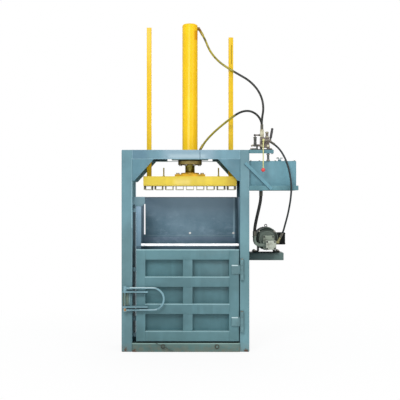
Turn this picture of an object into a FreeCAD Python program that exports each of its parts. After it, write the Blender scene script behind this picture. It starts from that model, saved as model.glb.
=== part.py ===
"""Vertical hydraulic baler: welded portal frame, swinging door, ram-driven press plate, side oil tank,
hand valve and motor pump. Millimetres, +Z up, -Y is the door side. The origin lies on the floor under
the ram's axis."""
import FreeCAD, Part
import math
import os
import re

SIZES = {
    # portal frame
    "column_depth": 560, "frame_height": 2022, "latch_gap": 84,
    "left_column_width": 107, "right_column_width": 95, "frame_plate": 8,
    "beam_height": 91, "beam_flange": 50, "sill_height": 93,
    "gusset_leg": 220, "gusset_tip": 20, "gusset_plate": 10,
    "notch_width": 480, "notch_height": 45,
    "pad_width": 374, "pad_back": 67, "pad_height": 30, "deck_plate": 12, "post_clearance": 1,
    "sill_stud_radius": 12, "sill_stud_length": 14, "sill_stud_spacing": 540, "sill_stud_height": 55,
    # bale chamber
    "chamber_width": 988, "chamber_depth": 420, "wall_plate": 5, "wall_drop": 470,
    "floor_plate": 8, "rail_width": 60, "rail_pitch": 320, "rail_wall": 6,
    "jamb_width": 51, "tie_height": 92, "door_gap": 2, "arch_radius": 16,
    "tie_proud": 8, "tie_lap": 6, "tie_flag": 40, "flag_chamfer": 30, "lug_height": 40,
    "lug_drop": 64, "upper_lug": 802, "lower_lug": 306, "foot_lug": 142,
    "split_rise": 36, "band_height": 95, "band_proud": 4,
    "side_slot_inset": 7, "side_slot_width": 14, "side_slot_rise": 90, "side_slot_drop": 75,
    "feed_bar_rise": 32, "feed_bar_height": 26, "feed_bar_depth": 14, "rear_rib_depth": 40,
    # door
    "door_lap": 45, "door_clearance": 4, "door_bottom": 107, "door_depth": 70,
    "door_skin_plate": 6, "door_member_wall": 5, "latch_stile_width": 92, "hinge_stile_width": 99,
    "mullion_width": 96, "mullion_centre": 23, "rail_height": 101, "window_height": 171,
    # door hinges
    "hinge_standoff": 20, "knuckle_radius": 19, "hinge_pin_radius": 10,
    "outer_knuckle": 58, "door_knuckle": 85, "knuckle_gap": 1, "hinge_upper": 825, "hinge_lower": 304,
    "strap_inset": 28, "strap_plate": 14, "strap_relief": 2, "hinge_pad": 12, "fit_gap": 0.05,
    # latch
    "fork_inset": 15, "fork_lap": 27, "fork_plate": 14, "fork_reach": 65,
    "fork_upper": 606, "fork_lower": 457, "latch_pin_inset": 37, "latch_pin_reach": 45,
    "latch_pin_radius": 8, "handle_bar_radius": 10, "handle_upper": 643, "handle_lower": 424,
    "handle_straight": 278, "eye_radius": 16, "pin_head_radius": 13, "pin_head_height": 8,
    "keeper_width": 55, "keeper_depth": 28, "keeper_gap": 6, "keeper_bar_radius": 7,
    # press plate and ram
    "platen_gap": 22, "platen_depth": 400, "platen_drop": 358, "platen_height": 96,
    "platen_plate": 12,
    "channel_width": 80, "channel_height": 40, "channel_wall": 5, "channel_inset": 4,
    "post_width": 48, "post_wall": 4, "post_inset": 50,
    "left_post_height": 1539, "right_post_height": 1438,
    "stud_radius": 7, "stud_height": 92, "stud_left": 271, "stud_right": 295,
    "seat_width": 310, "seat_height": 22, "seat_ring_radius": 93, "seat_ring_height": 18,
    "rod_radius": 50, "spigot_radius": 30, "piston_height": 80, "piston_gap": 5,
    "cylinder_radius": 79, "bore_radius": 62.5, "cylinder_rise": 1312, "cap_height": 30,
    "cap_chamfer": 12, "collar_radius": 105, "collar_height": 20,
    "gland_radius": 122.5, "gland_height": 48, "bolt_circle_radius": 105, "bolt_radius": 10,
    "bolt_head_radius": 15, "bolt_head_height": 10, "bolt_grip": 20,
    "port_drop": 14, "port_boss_radius": 18, "port_boss_length": 22, "nipple_radius": 13,
    "nipple_length": 34, "top_nipple_angle": 60, "lower_port_height": 10, "lower_nipple_angle": 60,
    # oil tank
    "tank_gap": 4, "tank_width": 469, "tank_depth": 400, "tank_drop": 358, "tank_height": 244,
    "tank_wall": 4, "lid_plate": 5, "tank_setback": 50, "shelf_overhang": 18, "shelf_plate": 8,
    "shelf_lip": 38, "brace_width": 34, "brace_plate": 6, "brace_drop": 142, "brace_lap": 53,
    "brace_length": 372, "suction_offset": 128, "suction_inset": 90, "suction_radius": 17,
    "suction_stub": 46, "neck_radius": 17, "neck_height": 18, "cap_offset": 318, "cap_inset": 130,
    "stem_radius": 12, "cap_radius": 32, "cap_thickness": 20, "cap_lift": 10,
    # hand valve
    "valve_shelf_width": 243, "valve_shelf_depth": 160, "valve_shelf_lip": 27,
    "valve_left": 111, "valve_width": 90, "valve_depth": 80, "valve_low": 24, "valve_height": 102,
    "valve_setback": 10, "leg_width": 27, "leg_inset": 22, "return_radius": 12,
    "base_plate": 8, "base_left": 10, "base_width": 222, "union_height": 64, "union_radius": 14,
    "union_inset": 18, "union_pitch": 30, "union_tip": 20,
    "relief_offset": 50, "relief_radius": 14, "relief_rise": 12, "relief_height": 82,
    "relief_line_radius": 7, "relief_line_rise": 33, "relief_screw_length": 44, "relief_screw_angle": 160,
    "spool_cap_radius": 11, "gauge_stem_height": 60,
    "pressure_nipple_angle": 33, "pressure_nipple_length": 30, "ear_plate": 8,
    "pivot_reach": 38, "pivot_drop": 32, "pivot_radius": 9, "lever_radius": 6, "lever_length": 280,
    "lever_inset": 24, "ball_radius": 20, "grip_radius": 8, "grip_length": 110, "grip_angle": 80,
    "grip_knob": 13,
    # motor and pump
    "motor_shelf_top": 978, "motor_shelf_lip": 68, "motor_shelf_width": 367,
    "motor_shelf_front": 70, "motor_shelf_depth": 220, "motor_offset": 196, "motor_height": 144,
    "motor_radius": 110, "fin_height": 10, "fin_width": 4, "fin_count": 30, "motor_front": 40,
    "motor_length": 220, "shield_length": 30, "shield_radius": 84, "stator_bore": 72,
    "rotor_gap": 1, "shaft_radius": 19, "cowl_length": 74, "cowl_wall": 3, "fan_radius": 94,
    "fan_thickness": 28, "foot_width": 58, "foot_height": 15, "foot_web": 12, "foot_spread": 220,
    "foot_length": 140,
    "box_width": 80, "box_height": 124, "box_length": 100, "eye_bolt_radius": 12, "eye_wire": 4,
    "pump_plate_width": 116, "pump_plate_rise": 35, "pump_plate_height": 140, "pump_plate": 18,
    "pump_width": 106, "pump_height": 92, "pump_length": 98, "pump_drop": 60, "pump_shift": 30,
    "elbow_radius": 17, "elbow_bend": 55, "elbow_rise": 36, "elbow_run": 55,
    "outlet_width": 35, "outlet_height": 26, "outlet_rise": 46, "outlet_level": 28, "outlet_angle": 62,
    # hoses
    "ram_hose": 22, "pressure_hose": 19, "suction_hose": 32, "bend_share": 0.45,
    "ram_run": 90, "union_run": 100, "lower_union_run": 55, "lower_ram_run": 62, "port_run": 60,
    "pump_run": 58, "tank_run": 68, "elbow_top_run": 50,
}

doc = FreeCAD.newDocument("vertical_baler")
sheet = doc.addObject("Spreadsheet::Sheet", "Sizes")
for row, (alias, number) in enumerate(SIZES.items(), start=1):
    sheet.set(f"A{row}", alias)
    sheet.set(f"B{row}", str(number))
    sheet.setAlias(f"B{row}", alias)
doc.recompute()

nodes = []
WORD = re.compile(r"[a-z][a-z_]*")


def size(alias):
    """The value that the sheet holds under a name."""
    return float(sheet.get(alias))


def bound(formula):
    """A formula over the sheet's names, as an expression of this document."""
    return WORD.sub(lambda word: f"Sizes.{word[0]}" if word[0] in SIZES else word[0], formula)


def node(label, item):
    """Marks a finished piece, which is written under its label."""
    item.Label = label
    nodes.append(item)
    return item


def put(item, place):
    """Binds a piece's corner or centre to three formulas."""
    for axis, formula in zip("xyz", place):
        item.setExpression(f"Placement.Base.{axis}", bound(f"({formula}) + 0"))
    return item


def block(x, y, z):
    """A box between its low and high faces along X, Y and Z."""
    item = doc.addObject("Part::Box", "block")
    for side, (low, high) in zip(("Length", "Width", "Height"), (x, y, z)):
        item.setExpression(side, bound(f"({high}) - ({low})"))
    return put(item, (x[0], y[0], z[0]))


def bar(axis, place, radius, length, angle=0.0):
    """A round bar that starts at a place and runs along +X, +Y or +Z; "tilt" bars run in the XZ plane,
    turned from +X towards -Z by a named angle."""
    item = doc.addObject("Part::Cylinder", "bar")
    item.setExpression("Radius", bound(radius))
    item.setExpression("Height", bound(length))
    turns = {"x": ((0, 1, 0), 90), "y": ((1, 0, 0), -90), "z": ((0, 0, 1), 0), "tilt": ((0, 1, 0), 1)}
    direction, degrees = turns[axis]
    item.Placement.Rotation = FreeCAD.Rotation(FreeCAD.Vector(*direction), degrees)
    if axis == "tilt":
        item.setExpression("Placement.Rotation.Angle", bound(f"90 + ({angle})"))
    return put(item, place)


def ball(place, radius):
    """A sphere about a place."""
    item = doc.addObject("Part::Sphere", "ball")
    item.setExpression("Radius", bound(radius))
    return put(item, place)


def fused(*items):
    """Several solids welded into one."""
    item = doc.addObject("Part::MultiFuse", "weld")
    item.Shapes = list(items)
    return item


def group(*items):
    """Several solids that stay separate in one piece."""
    item = doc.addObject("Part::Compound", "group")
    item.Links = list(items)
    return item


def less(base, *tools):
    """A solid with others taken out of it."""
    item = doc.addObject("Part::Cut", "cut")
    item.Base = base
    item.Tool = tools[0] if len(tools) == 1 else fused(*tools)
    return item


def inside(x, y, z, wall, open_sides=""):
    """The hollow of a box with one wall all round, run 1 mm out through each side that is open."""
    def span(low, high, letters):
        low_face = f"({low}) - 1" if letters[0] in open_sides else f"({low}) + {wall}"
        high_face = f"({high}) + 1" if letters[1] in open_sides else f"({high}) - {wall}"
        return low_face, high_face
    return block(span(*x, "lr"), span(*y, "fb"), span(*z, "dt"))


def hollow(x, y, z, wall, open_sides=""):
    """A box with one wall all round, open at the sides named: l r f b d t."""
    return less(block(x, y, z), inside(x, y, z, wall, open_sides))


def tapered_plate(place, foot, head, height, plate):
    """An upright plate facing -Y whose span along X changes from its foot to its head."""
    item = doc.addObject("Part::Wedge", "plate")
    item.Placement.Rotation = FreeCAD.Rotation(FreeCAD.Vector(1, 0, 0), 90)
    spans = {"Xmin": foot[0], "Xmax": foot[1], "X2min": head[0], "X2max": head[1], "Ymin": "0",
             "Ymax": height, "Zmin": "0", "Zmax": plate, "Z2min": "0", "Z2max": plate}
    for name, formula in spans.items():
        item.setExpression(name, bound(f"({formula}) + 0"))
    return put(item, (place[0], f"({place[1]}) + ({plate})", place[2]))


# Faces that many pieces share
FRONT = "(-column_depth / 2)"
BACK = "(column_depth / 2)"
WALL_IN = "(chamber_width / 2)"
LEFT = f"(-{WALL_IN} - latch_gap)"
RIGHT = f"({WALL_IN} + wall_plate)"
LEFT_OUT = f"({LEFT} - left_column_width)"
RIGHT_OUT = f"({RIGHT} + right_column_width)"
BEAM_LOW = "(frame_height - beam_height)"
DECK_LOW = f"({BEAM_LOW} + pad_height)"
DECK_TOP = f"({DECK_LOW} + deck_plate)"
DOOR_BACK = f"({FRONT} + door_depth)"
WALL_FRONT = f"({DOOR_BACK} + door_gap)"
CHAMBER_BACK = f"({DOOR_BACK} + chamber_depth)"
FLOOR = "(sill_height + floor_plate)"
WALL_TOP = "(frame_height - wall_drop)"
JAMB_TOP = f"({WALL_TOP} - tie_height)"
DOOR_TOP = "(door_bottom + 4 * rail_height + 3 * window_height)"
REAR_SPLIT = f"({DOOR_TOP} + split_rise)"

# ---------------------------------------------------------------- portal frame
# Box columns, closed at both ends
for label, x in (("left_column", (LEFT_OUT, LEFT)), ("right_column", (RIGHT, RIGHT_OUT))):
    node(label, hollow(x, (FRONT, BACK), ("0", "frame_height"), "frame_plate"))

# Channel beams between the columns; the rear one is relieved under its middle
FRONT_BAND = (FRONT, f"{FRONT} + beam_flange")
REAR_BAND = (f"{BACK} - beam_flange", BACK)
SPAN = (LEFT, RIGHT)
node("front_top_beam", hollow(SPAN, FRONT_BAND, (BEAM_LOW, "frame_height"), "frame_plate", "lrb"))
rear_beam = hollow(SPAN, REAR_BAND, (BEAM_LOW, "frame_height"), "frame_plate", "lrf")
notch = block(("-notch_width / 2", "notch_width / 2"), (f"{BACK} - beam_flange - 1", f"{BACK} + 1"),
              (f"{BEAM_LOW} - 1", f"{BEAM_LOW} + notch_height"))
node("rear_top_beam", less(rear_beam, notch))
GUSSETS = ((LEFT, ("0", "gusset_tip"), ("0", "gusset_leg")),
           (RIGHT, ("-gusset_tip", "0"), ("-gusset_leg", "0")))
node("corner_gussets", group(*[
    tapered_plate((wall, y_low, f"{BEAM_LOW} - gusset_leg"), foot, head, "gusset_leg", "gusset_plate")
    for wall, foot, head in GUSSETS for y_low in (FRONT, f"{BACK} - gusset_plate")]))

# Sills; the front one carries two studs
front_sill = hollow(SPAN, FRONT_BAND, ("0", "sill_height"), "frame_plate", "lrb")
studs = [bar("y", (f"{sign}sill_stud_spacing / 2", f"{FRONT} - sill_stud_length", "sill_stud_height"),
             "sill_stud_radius", "sill_stud_length + 1") for sign in ("-", "")]
node("front_sill", fused(front_sill, *studs))
node("rear_sill", hollow(SPAN, REAR_BAND, ("0", "sill_height"), "frame_plate", "lrf"))

# Crosshead: a thick pad for the ram and a deck whose square holes guide the two posts
deck = block(SPAN, (f"{FRONT} + frame_plate", f"{BACK} - frame_plate"), (DECK_LOW, DECK_TOP))
pad = block(("-pad_width / 2", "pad_width / 2"), (f"{FRONT} + beam_flange", "pad_back"),
            (BEAM_LOW, DECK_LOW))
neck = bar("z", ("0", "0", BEAM_LOW), "gland_radius", "pad_height")
ram_hole = bar("z", ("0", "0", f"{BEAM_LOW} - 1"), "cylinder_radius + 1", "pad_height + deck_plate + 2")
POST_HALF = "(post_width / 2 + post_clearance)"
PLATEN_EDGE = f"({WALL_IN} - platen_gap)"
POSTS = {"left": f"(post_inset - {PLATEN_EDGE})", "right": f"({PLATEN_EDGE} - post_inset)"}
post_holes = [block((f"{x} - {POST_HALF}", f"{x} + {POST_HALF}"), (f"-{POST_HALF}", POST_HALF),
                    (f"{DECK_LOW} - 1", f"{DECK_TOP} + 1")) for x in POSTS.values()]
BOLT_ANGLES = [22.5 + 45 * turn for turn in range(8)]


def bolt_ring(radius, low, length):
    """Eight bars on the gland's bolt circle."""
    return [bar("z", (f"bolt_circle_radius * cos({angle} deg)", f"bolt_circle_radius * sin({angle} deg)",
                      low), radius, length) for angle in BOLT_ANGLES]


node("crosshead", less(fused(deck, pad, neck), ram_hole, *post_holes,
                       *bolt_ring("bolt_radius", f"{BEAM_LOW} - 1", "bolt_grip + 1")))

# ---------------------------------------------------------------- bale chamber
rails = [hollow((f"{turn} * rail_pitch - rail_width / 2", f"{turn} * rail_pitch + rail_width / 2"),
                (f"{FRONT} + beam_flange", f"{BACK} - beam_flange"), ("0", "sill_height"),
                "rail_wall", "fb") for turn in (-1, 0, 1)]
floor_sheet = block((f"-{WALL_IN} - jamb_width", RIGHT), (DOOR_BACK, BACK), ("sill_height", FLOOR))
node("floor_deck", fused(floor_sheet, *rails))

# Side walls; the left one is edged in front by the jamb tube that the door closes on
JAMB = (f"-{WALL_IN} - jamb_width", f"-{WALL_IN}")
JAMB_BACK = f"({WALL_FRONT} + jamb_width)"
jamb = hollow(JAMB, (WALL_FRONT, JAMB_BACK), (FLOOR, JAMB_TOP), "wall_plate", "d")
left_sheet = block((f"-{WALL_IN} - wall_plate", f"-{WALL_IN}"), (JAMB_BACK, BACK), (FLOOR, WALL_TOP))
node("left_wall", fused(jamb, left_sheet))
node("right_wall", block((WALL_IN, RIGHT), (WALL_FRONT, BACK), (FLOOR, WALL_TOP)))

# Ties from the left column to the jamb: an arched head plate with a chamfered flag, and lugs in the gap
TIE_Y = (f"{WALL_FRONT} - tie_proud", f"{WALL_FRONT} + tie_lap")
tie_plate = block((LEFT, f"-{WALL_IN}"), TIE_Y, (JAMB_TOP, WALL_TOP))
arch = bar("y", (f"({LEFT} + {JAMB[0]}) / 2", f"{TIE_Y[0]} - 1", JAMB_TOP), "arch_radius",
           "tie_proud + tie_lap + 2")
flag = block((f"-{WALL_IN} - 1", f"-{WALL_IN} + tie_flag"), (TIE_Y[0], WALL_FRONT),
             (f"{JAMB_TOP} + flag_chamfer", WALL_TOP))
flag_foot = tapered_plate((f"-{WALL_IN}", TIE_Y[0], JAMB_TOP), ("-1", "tie_flag - flag_chamfer"),
                          ("-1", "tie_flag"), "flag_chamfer", "tie_proud")
lugs = [block((LEFT, JAMB[0]), (f"{WALL_FRONT} + 1", f"{WALL_FRONT} + frame_plate"),
              (low, f"{low} + lug_height"))
        for low in (f"{JAMB_TOP} - lug_drop", "upper_lug", "lower_lug", "foot_lug")]
node("wall_ties", group(fused(less(tie_plate, arch), flag, flag_foot), *lugs))

# Rear panel with an inner band and a slot along its left edge; ribs stand behind it
REAR = (CHAMBER_BACK, f"{CHAMBER_BACK} + wall_plate")
INNER = (f"-{WALL_IN}", WALL_IN)
upper_sheet = block(INNER, REAR, (REAR_SPLIT, WALL_TOP))
band = block(INNER, (f"{CHAMBER_BACK} - band_proud", CHAMBER_BACK),
             (REAR_SPLIT, f"{REAR_SPLIT} + band_height"))
side_slot = block((f"-{WALL_IN} + side_slot_inset", f"-{WALL_IN} + side_slot_inset + side_slot_width"),
                  (f"{CHAMBER_BACK} - 1", f"{CHAMBER_BACK} + wall_plate + rear_rib_depth + 1"),
                  (f"{REAR_SPLIT} + side_slot_rise", f"{WALL_TOP} - side_slot_drop"))
RIB = (f"{CHAMBER_BACK} + wall_plate", f"{CHAMBER_BACK} + wall_plate + rear_rib_depth")


def rear_rib(low):
    """A channel across the back of the chamber, its web outwards."""
    return hollow(INNER, RIB, (low, f"{low} + rail_width"), "wall_plate", "lrf")


node("rear_panel", less(fused(upper_sheet, band, rear_rib(REAR_SPLIT),
                              rear_rib(f"{WALL_TOP} - rail_width")), side_slot))
lower_sheet = block(INNER, REAR, (FLOOR, REAR_SPLIT))
node("rear_lower_wall", fused(lower_sheet, rear_rib(f"{FLOOR} + door_gap"),
                              rear_rib(f"{REAR_SPLIT} / 2"),
                              rear_rib(f"{REAR_SPLIT} - rail_width - door_gap")))
node("feed_bar", block(INNER, (f"{WALL_FRONT} - feed_bar_depth", WALL_FRONT),
                       (f"{DOOR_TOP} + feed_bar_rise", f"{DOOR_TOP} + feed_bar_rise + feed_bar_height")))

# ---------------------------------------------------------------- door
DOOR_X = (f"(-{WALL_IN} - door_lap)", f"({WALL_IN} - door_clearance)")
DOOR_Z = ("door_bottom", DOOR_TOP)
MEMBER = (FRONT, f"{DOOR_BACK} - door_skin_plate")
LATCH_STILE = (DOOR_X[0], f"{DOOR_X[0]} + latch_stile_width")
HINGE_STILE = (f"{DOOR_X[1]} - hinge_stile_width", DOOR_X[1])
BETWEEN = (LATCH_STILE[1], HINGE_STILE[0])
node("door_skin", block(DOOR_X, (MEMBER[1], DOOR_BACK), DOOR_Z))
node("door_latch_stile", hollow(LATCH_STILE, MEMBER, DOOR_Z, "door_member_wall", "b"))
node("door_hinge_stile", hollow(HINGE_STILE, MEMBER, DOOR_Z, "door_member_wall", "b"))


def rail_low(turn):
    """The underside of a door rail, counted from the bottom."""
    return f"door_bottom + {turn} * (rail_height + window_height)"


node("door_rails", group(*[
    hollow(BETWEEN, MEMBER, (rail_low(turn), f"{rail_low(turn)} + rail_height"), "door_member_wall",
           "lrb") for turn in range(4)]))
MULLION = ("-mullion_centre - mullion_width / 2", "-mullion_centre + mullion_width / 2")
node("door_mullions", group(*[
    hollow(MULLION, MEMBER, (f"{rail_low(turn)} + rail_height", rail_low(turn + 1)),
           "door_member_wall", "dtb") for turn in range(3)]))

# Hinges: welded knuckles on the column, strap and middle knuckle on the door, one pin through each
AXIS_X = f"({RIGHT} + knuckle_radius)"
AXIS_Y = f"({FRONT} - hinge_standoff)"
HINGES = ("hinge_upper", "hinge_lower")
DOOR_KNUCKLE_HALF = "(door_knuckle / 2)"


def knuckle(low, length):
    """A barrel on the hinge axis, with its bore."""
    place = (AXIS_X, AXIS_Y)
    return (bar("z", (*place, low), "knuckle_radius", length),
            bar("z", (*place, f"{low} - 1"), "hinge_pin_radius + fit_gap", f"{length} + 2"))


def column_hinge(level):
    """Two barrels on a pad each, welded to the column's face."""
    barrels = []
    for low in (f"{level} + {DOOR_KNUCKLE_HALF} + knuckle_gap",
                f"{level} - {DOOR_KNUCKLE_HALF} - knuckle_gap - outer_knuckle"):
        barrel, bore = knuckle(low, "outer_knuckle")
        pad = block((f"{AXIS_X} - hinge_pad", f"{AXIS_X} + hinge_pad"), (AXIS_Y, FRONT),
                    (low, f"{low} + outer_knuckle"))
        barrels.append(less(fused(barrel, pad), bore))
    return barrels


def door_hinge(level):
    """The middle barrel and the strap that carries it on the door's face."""
    low = f"{level} - {DOOR_KNUCKLE_HALF}"
    tall = (low, f"{level} + {DOOR_KNUCKLE_HALF}")
    barrel, bore = knuckle(low, "door_knuckle")
    face = f"({FRONT} - strap_relief)"
    strap_left = f"{HINGE_STILE[0]} + strap_inset"
    strap = block((strap_left, f"{AXIS_X} - hinge_pin_radius"), (f"{face} - strap_plate", face), tall)
    pad = block((strap_left, f"{DOOR_X[1]} - strap_relief"), (face, FRONT), tall)
    return less(fused(barrel, strap, pad), bore)


node("column_hinges", group(*[barrel for level in HINGES for barrel in column_hinge(level)]))
node("door_hinges", group(*[door_hinge(level) for level in HINGES]))
PIN_HALF = f"({DOOR_KNUCKLE_HALF} + knuckle_gap + outer_knuckle)"
node("hinge_pins", group(*[fused(
    bar("z", (AXIS_X, AXIS_Y, f"{level} - {PIN_HALF}"), "hinge_pin_radius", f"2 * {PIN_HALF}"),
    bar("z", (AXIS_X, AXIS_Y, f"{level} + {PIN_HALF}"), "hinge_pin_radius + 5",
        "pin_head_height")) for level in HINGES]))

# ---------------------------------------------------------------- latch
PIN_X = f"({LEFT_OUT} + latch_pin_inset)"
FORK_X = (f"{LEFT_OUT} + fork_inset", f"{LATCH_STILE[1]} + fork_lap")
PIN_Y = f"({FRONT} - latch_pin_reach)"
FORK_FACE = f"({FRONT} - strap_relief)"


def fork_plate(level):
    """A plate on the door's latch stile that reaches over the column's face, bored for the pin."""
    tall = (f"{level} - fork_plate / 2", f"{level} + fork_plate / 2")
    reach = block(FORK_X, (f"{FRONT} - fork_reach", FORK_FACE), tall)
    seat = block((DOOR_X[0], FORK_X[1]), (FORK_FACE, FRONT), tall)
    bore = bar("z", (PIN_X, PIN_Y, f"{tall[0]} - 1"), "latch_pin_radius + fit_gap", "fork_plate + 2")
    return less(fused(reach, seat), bore)


node("latch_fork", group(fork_plate("fork_upper"), fork_plate("fork_lower")))

# U-shaped round bar with an eye at each end, and the pin that both eyes are welded to
BEND_RADIUS = "((handle_upper - handle_lower) / 2)"
bend = doc.addObject("Part::Torus", "bend")
bend.setExpression("Radius1", bound(BEND_RADIUS))
bend.setExpression("Radius2", bound("handle_bar_radius"))
bend.Angle3 = 180
bend.Placement.Rotation = FreeCAD.Rotation(FreeCAD.Vector(1, 1, 1), 240)
put(bend, (f"{PIN_X} + handle_straight", PIN_Y, "(handle_upper + handle_lower) / 2"))
arms = [bar("x", (PIN_X, PIN_Y, level), "handle_bar_radius", "handle_straight")
        for level in ("handle_upper", "handle_lower")]
EYE_GAP = "(fork_plate / 2 + 1)"
EYES = ((f"fork_upper + {EYE_GAP}", "handle_upper + handle_bar_radius + 4"),
        ("handle_lower - handle_bar_radius - 4", f"fork_lower - {EYE_GAP}"))
eyes = [bar("z", (PIN_X, PIN_Y, low), "eye_radius", f"({high}) - ({low})") for low, high in EYES]
pin = bar("z", (PIN_X, PIN_Y, EYES[1][0]), "latch_pin_radius", f"({EYES[0][1]}) - ({EYES[1][0]})")
pin_head = bar("z", (PIN_X, PIN_Y, EYES[0][1]), "pin_head_radius", "pin_head_height")
node("latch_handle", fused(bend, *arms, *eyes, pin, pin_head))

# Keeper block with a round bar along its edge, on the column between the fork plates
KEEPER_Z = ("fork_lower + fork_plate / 2 + keeper_gap", "fork_upper - fork_plate / 2 - keeper_gap")
keeper = block((FORK_X[0], f"{FORK_X[0]} + keeper_width"), (f"{FRONT} - keeper_depth", FRONT), KEEPER_Z)
keeper_bar = bar("z", (f"{FORK_X[0]} + keeper_width + keeper_bar_radius - 1",
                       f"{FRONT} - keeper_bar_radius", KEEPER_Z[0]),
                 "keeper_bar_radius", f"({KEEPER_Z[1]}) - ({KEEPER_Z[0]})")
node("latch_keeper", fused(keeper, keeper_bar))

# ---------------------------------------------------------------- press plate
PLATEN_LOW = "(frame_height - platen_drop)"
PLATEN_TOP = f"({PLATEN_LOW} + platen_height)"
FACE_TOP = f"({PLATEN_LOW} + platen_plate)"
PLATEN_X = (f"-{PLATEN_EDGE}", PLATEN_EDGE)
PLATEN_Y = ("-platen_depth / 2", "platen_depth / 2")
shell = hollow(PLATEN_X, PLATEN_Y, (FACE_TOP, PLATEN_TOP), "platen_plate", "d")
RIB_Z = (FACE_TOP, f"{PLATEN_TOP} - platen_plate / 2")
ribs = [block((f"{turn} * {PLATEN_EDGE} / 2 - platen_plate / 2",
               f"{turn} * {PLATEN_EDGE} / 2 + platen_plate / 2"), PLATEN_Y, RIB_Z) for turn in (-1, 0, 1)]
long_rib = block(PLATEN_X, ("-platen_plate / 2", "platen_plate / 2"), RIB_Z)
plate_studs = [bar("z", (x, "0", f"{PLATEN_TOP} - 1"), "stud_radius", "stud_height + 1")
               for x in ("-stud_left", "stud_right")]
node("platen_shell", fused(shell, *ribs, long_rib, *plate_studs))
node("platen_face", block(PLATEN_X, PLATEN_Y, (PLATEN_LOW, FACE_TOP)))


OUTER_TURN = 4


def strap_channel(turn):
    """A channel under the press plate, its web down; the gaps between them take the tying straps."""
    centre = f"{turn} * ({PLATEN_EDGE} - channel_inset - channel_width / 2) / {OUTER_TURN}"
    return hollow((f"{centre} - channel_width / 2", f"{centre} + channel_width / 2"), PLATEN_Y,
                  (f"{PLATEN_LOW} - channel_height", PLATEN_LOW), "channel_wall", "fbt")


for label, turns in (("left", (-OUTER_TURN, -3, -2)), ("middle", (-1, 0, 1)), ("right", (2, 3, OUTER_TURN))):
    node(f"strap_channels_{label}", group(*[strap_channel(turn) for turn in turns]))

for label, x in POSTS.items():
    node(f"guide_post_{label}", hollow(
        (f"{x} - post_width / 2", f"{x} + post_width / 2"), ("-post_width / 2", "post_width / 2"),
        (PLATEN_TOP, f"{PLATEN_TOP} + {label}_post_height"), "post_wall", "d"))

# Rod seat: a bolted plate with a ring round the rod's foot
SEAT_TOP = f"({PLATEN_TOP} + seat_height)"
seat_plate = block(("-seat_width / 2", "seat_width / 2"), ("-seat_width / 2", "seat_width / 2"),
                   (PLATEN_TOP, SEAT_TOP))
seat_ring = less(bar("z", ("0", "0", f"{SEAT_TOP}"), "seat_ring_radius", "seat_ring_height"),
                 bar("z", ("0", "0", f"{SEAT_TOP} - 1"), "rod_radius + fit_gap", "seat_ring_height + 2"))
seat_bolts = [bar("z", (f"{x}0.4 * seat_width", f"{y}0.4 * seat_width", SEAT_TOP), "bolt_head_radius",
                  "bolt_head_height") for x in ("-", "") for y in ("-", "")]
node("rod_seat", fused(seat_plate, seat_ring, *seat_bolts))

# ---------------------------------------------------------------- ram
CYLINDER_TOP = "(frame_height + cylinder_rise)"
CAP_LOW = f"({CYLINDER_TOP} - cap_height)"
PISTON_LOW = f"({CAP_LOW} - piston_gap - piston_height)"
node("piston_rod", fused(
    bar("z", ("0", "0", SEAT_TOP), "rod_radius", f"{PISTON_LOW} - {SEAT_TOP}"),
    bar("z", ("0", "0", PISTON_LOW), "spigot_radius", "piston_height")))
node("piston", less(bar("z", ("0", "0", PISTON_LOW), "bore_radius - fit_gap", "piston_height"),
                    bar("z", ("0", "0", f"{PISTON_LOW} - 1"), "spigot_radius + fit_gap",
                        "piston_height + 2")))
barrel = bar("z", ("0", "0", BEAM_LOW), "cylinder_radius", f"{CYLINDER_TOP} - cap_chamfer - {BEAM_LOW}")
crown = doc.addObject("Part::Cone", "crown")
crown.setExpression("Radius1", bound("cylinder_radius"))
crown.setExpression("Radius2", bound("cylinder_radius - cap_chamfer"))
crown.setExpression("Height", bound("cap_chamfer"))
put(crown, ("0", "0", f"{CYLINDER_TOP} - cap_chamfer"))
collar = bar("z", ("0", "0", DECK_TOP), "collar_radius", "collar_height")
ram_bore = bar("z", ("0", "0", f"{BEAM_LOW} - 1"), "bore_radius", f"{CAP_LOW} - {BEAM_LOW} + 1")
node("cylinder_tube", less(fused(barrel, crown, collar), ram_bore))

GLAND_LOW = f"({BEAM_LOW} - gland_height)"
node("cylinder_gland", less(
    bar("z", ("0", "0", GLAND_LOW), "gland_radius", "gland_height"),
    bar("z", ("0", "0", f"{GLAND_LOW} - 1"), "rod_radius + fit_gap", "gland_height + 2"),
    *bolt_ring("bolt_radius + 1", f"{GLAND_LOW} - 1", "gland_height + 2")))
heads = bolt_ring("bolt_head_radius", f"{GLAND_LOW} - bolt_head_height", "bolt_head_height")
shanks = bolt_ring("bolt_radius", GLAND_LOW, "gland_height + bolt_grip")
node("gland_bolts", group(*[fused(head, shank) for head, shank in zip(heads, shanks)]))

# Hose elbows: a boss on the cylinder's right side and a nipple turned down (top) or up (lower)
PORT_TOP = f"({CAP_LOW} - port_drop)"
PORT_LOW = f"({DECK_TOP} + collar_height + port_boss_radius + lower_port_height)"
BOSS_END = "(cylinder_radius + port_boss_length)"


def ram_elbow(level, angle):
    """A boss welded to the cylinder and a round nipple turned by an angle from level."""
    boss = bar("x", ("cylinder_radius - 2", "0", level), "port_boss_radius", "port_boss_length + 2")
    rounded = bar("tilt", (f"{BOSS_END} - nipple_radius / 2", "0", level), "nipple_radius",
                  "nipple_length", angle)
    return less(fused(boss, rounded), bar("z", ("0", "0", f"{level} - 60"), "cylinder_radius", "120"))


node("cylinder_elbows", group(ram_elbow(PORT_TOP, "top_nipple_angle"),
                              ram_elbow(PORT_LOW, "-lower_nipple_angle")))

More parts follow.
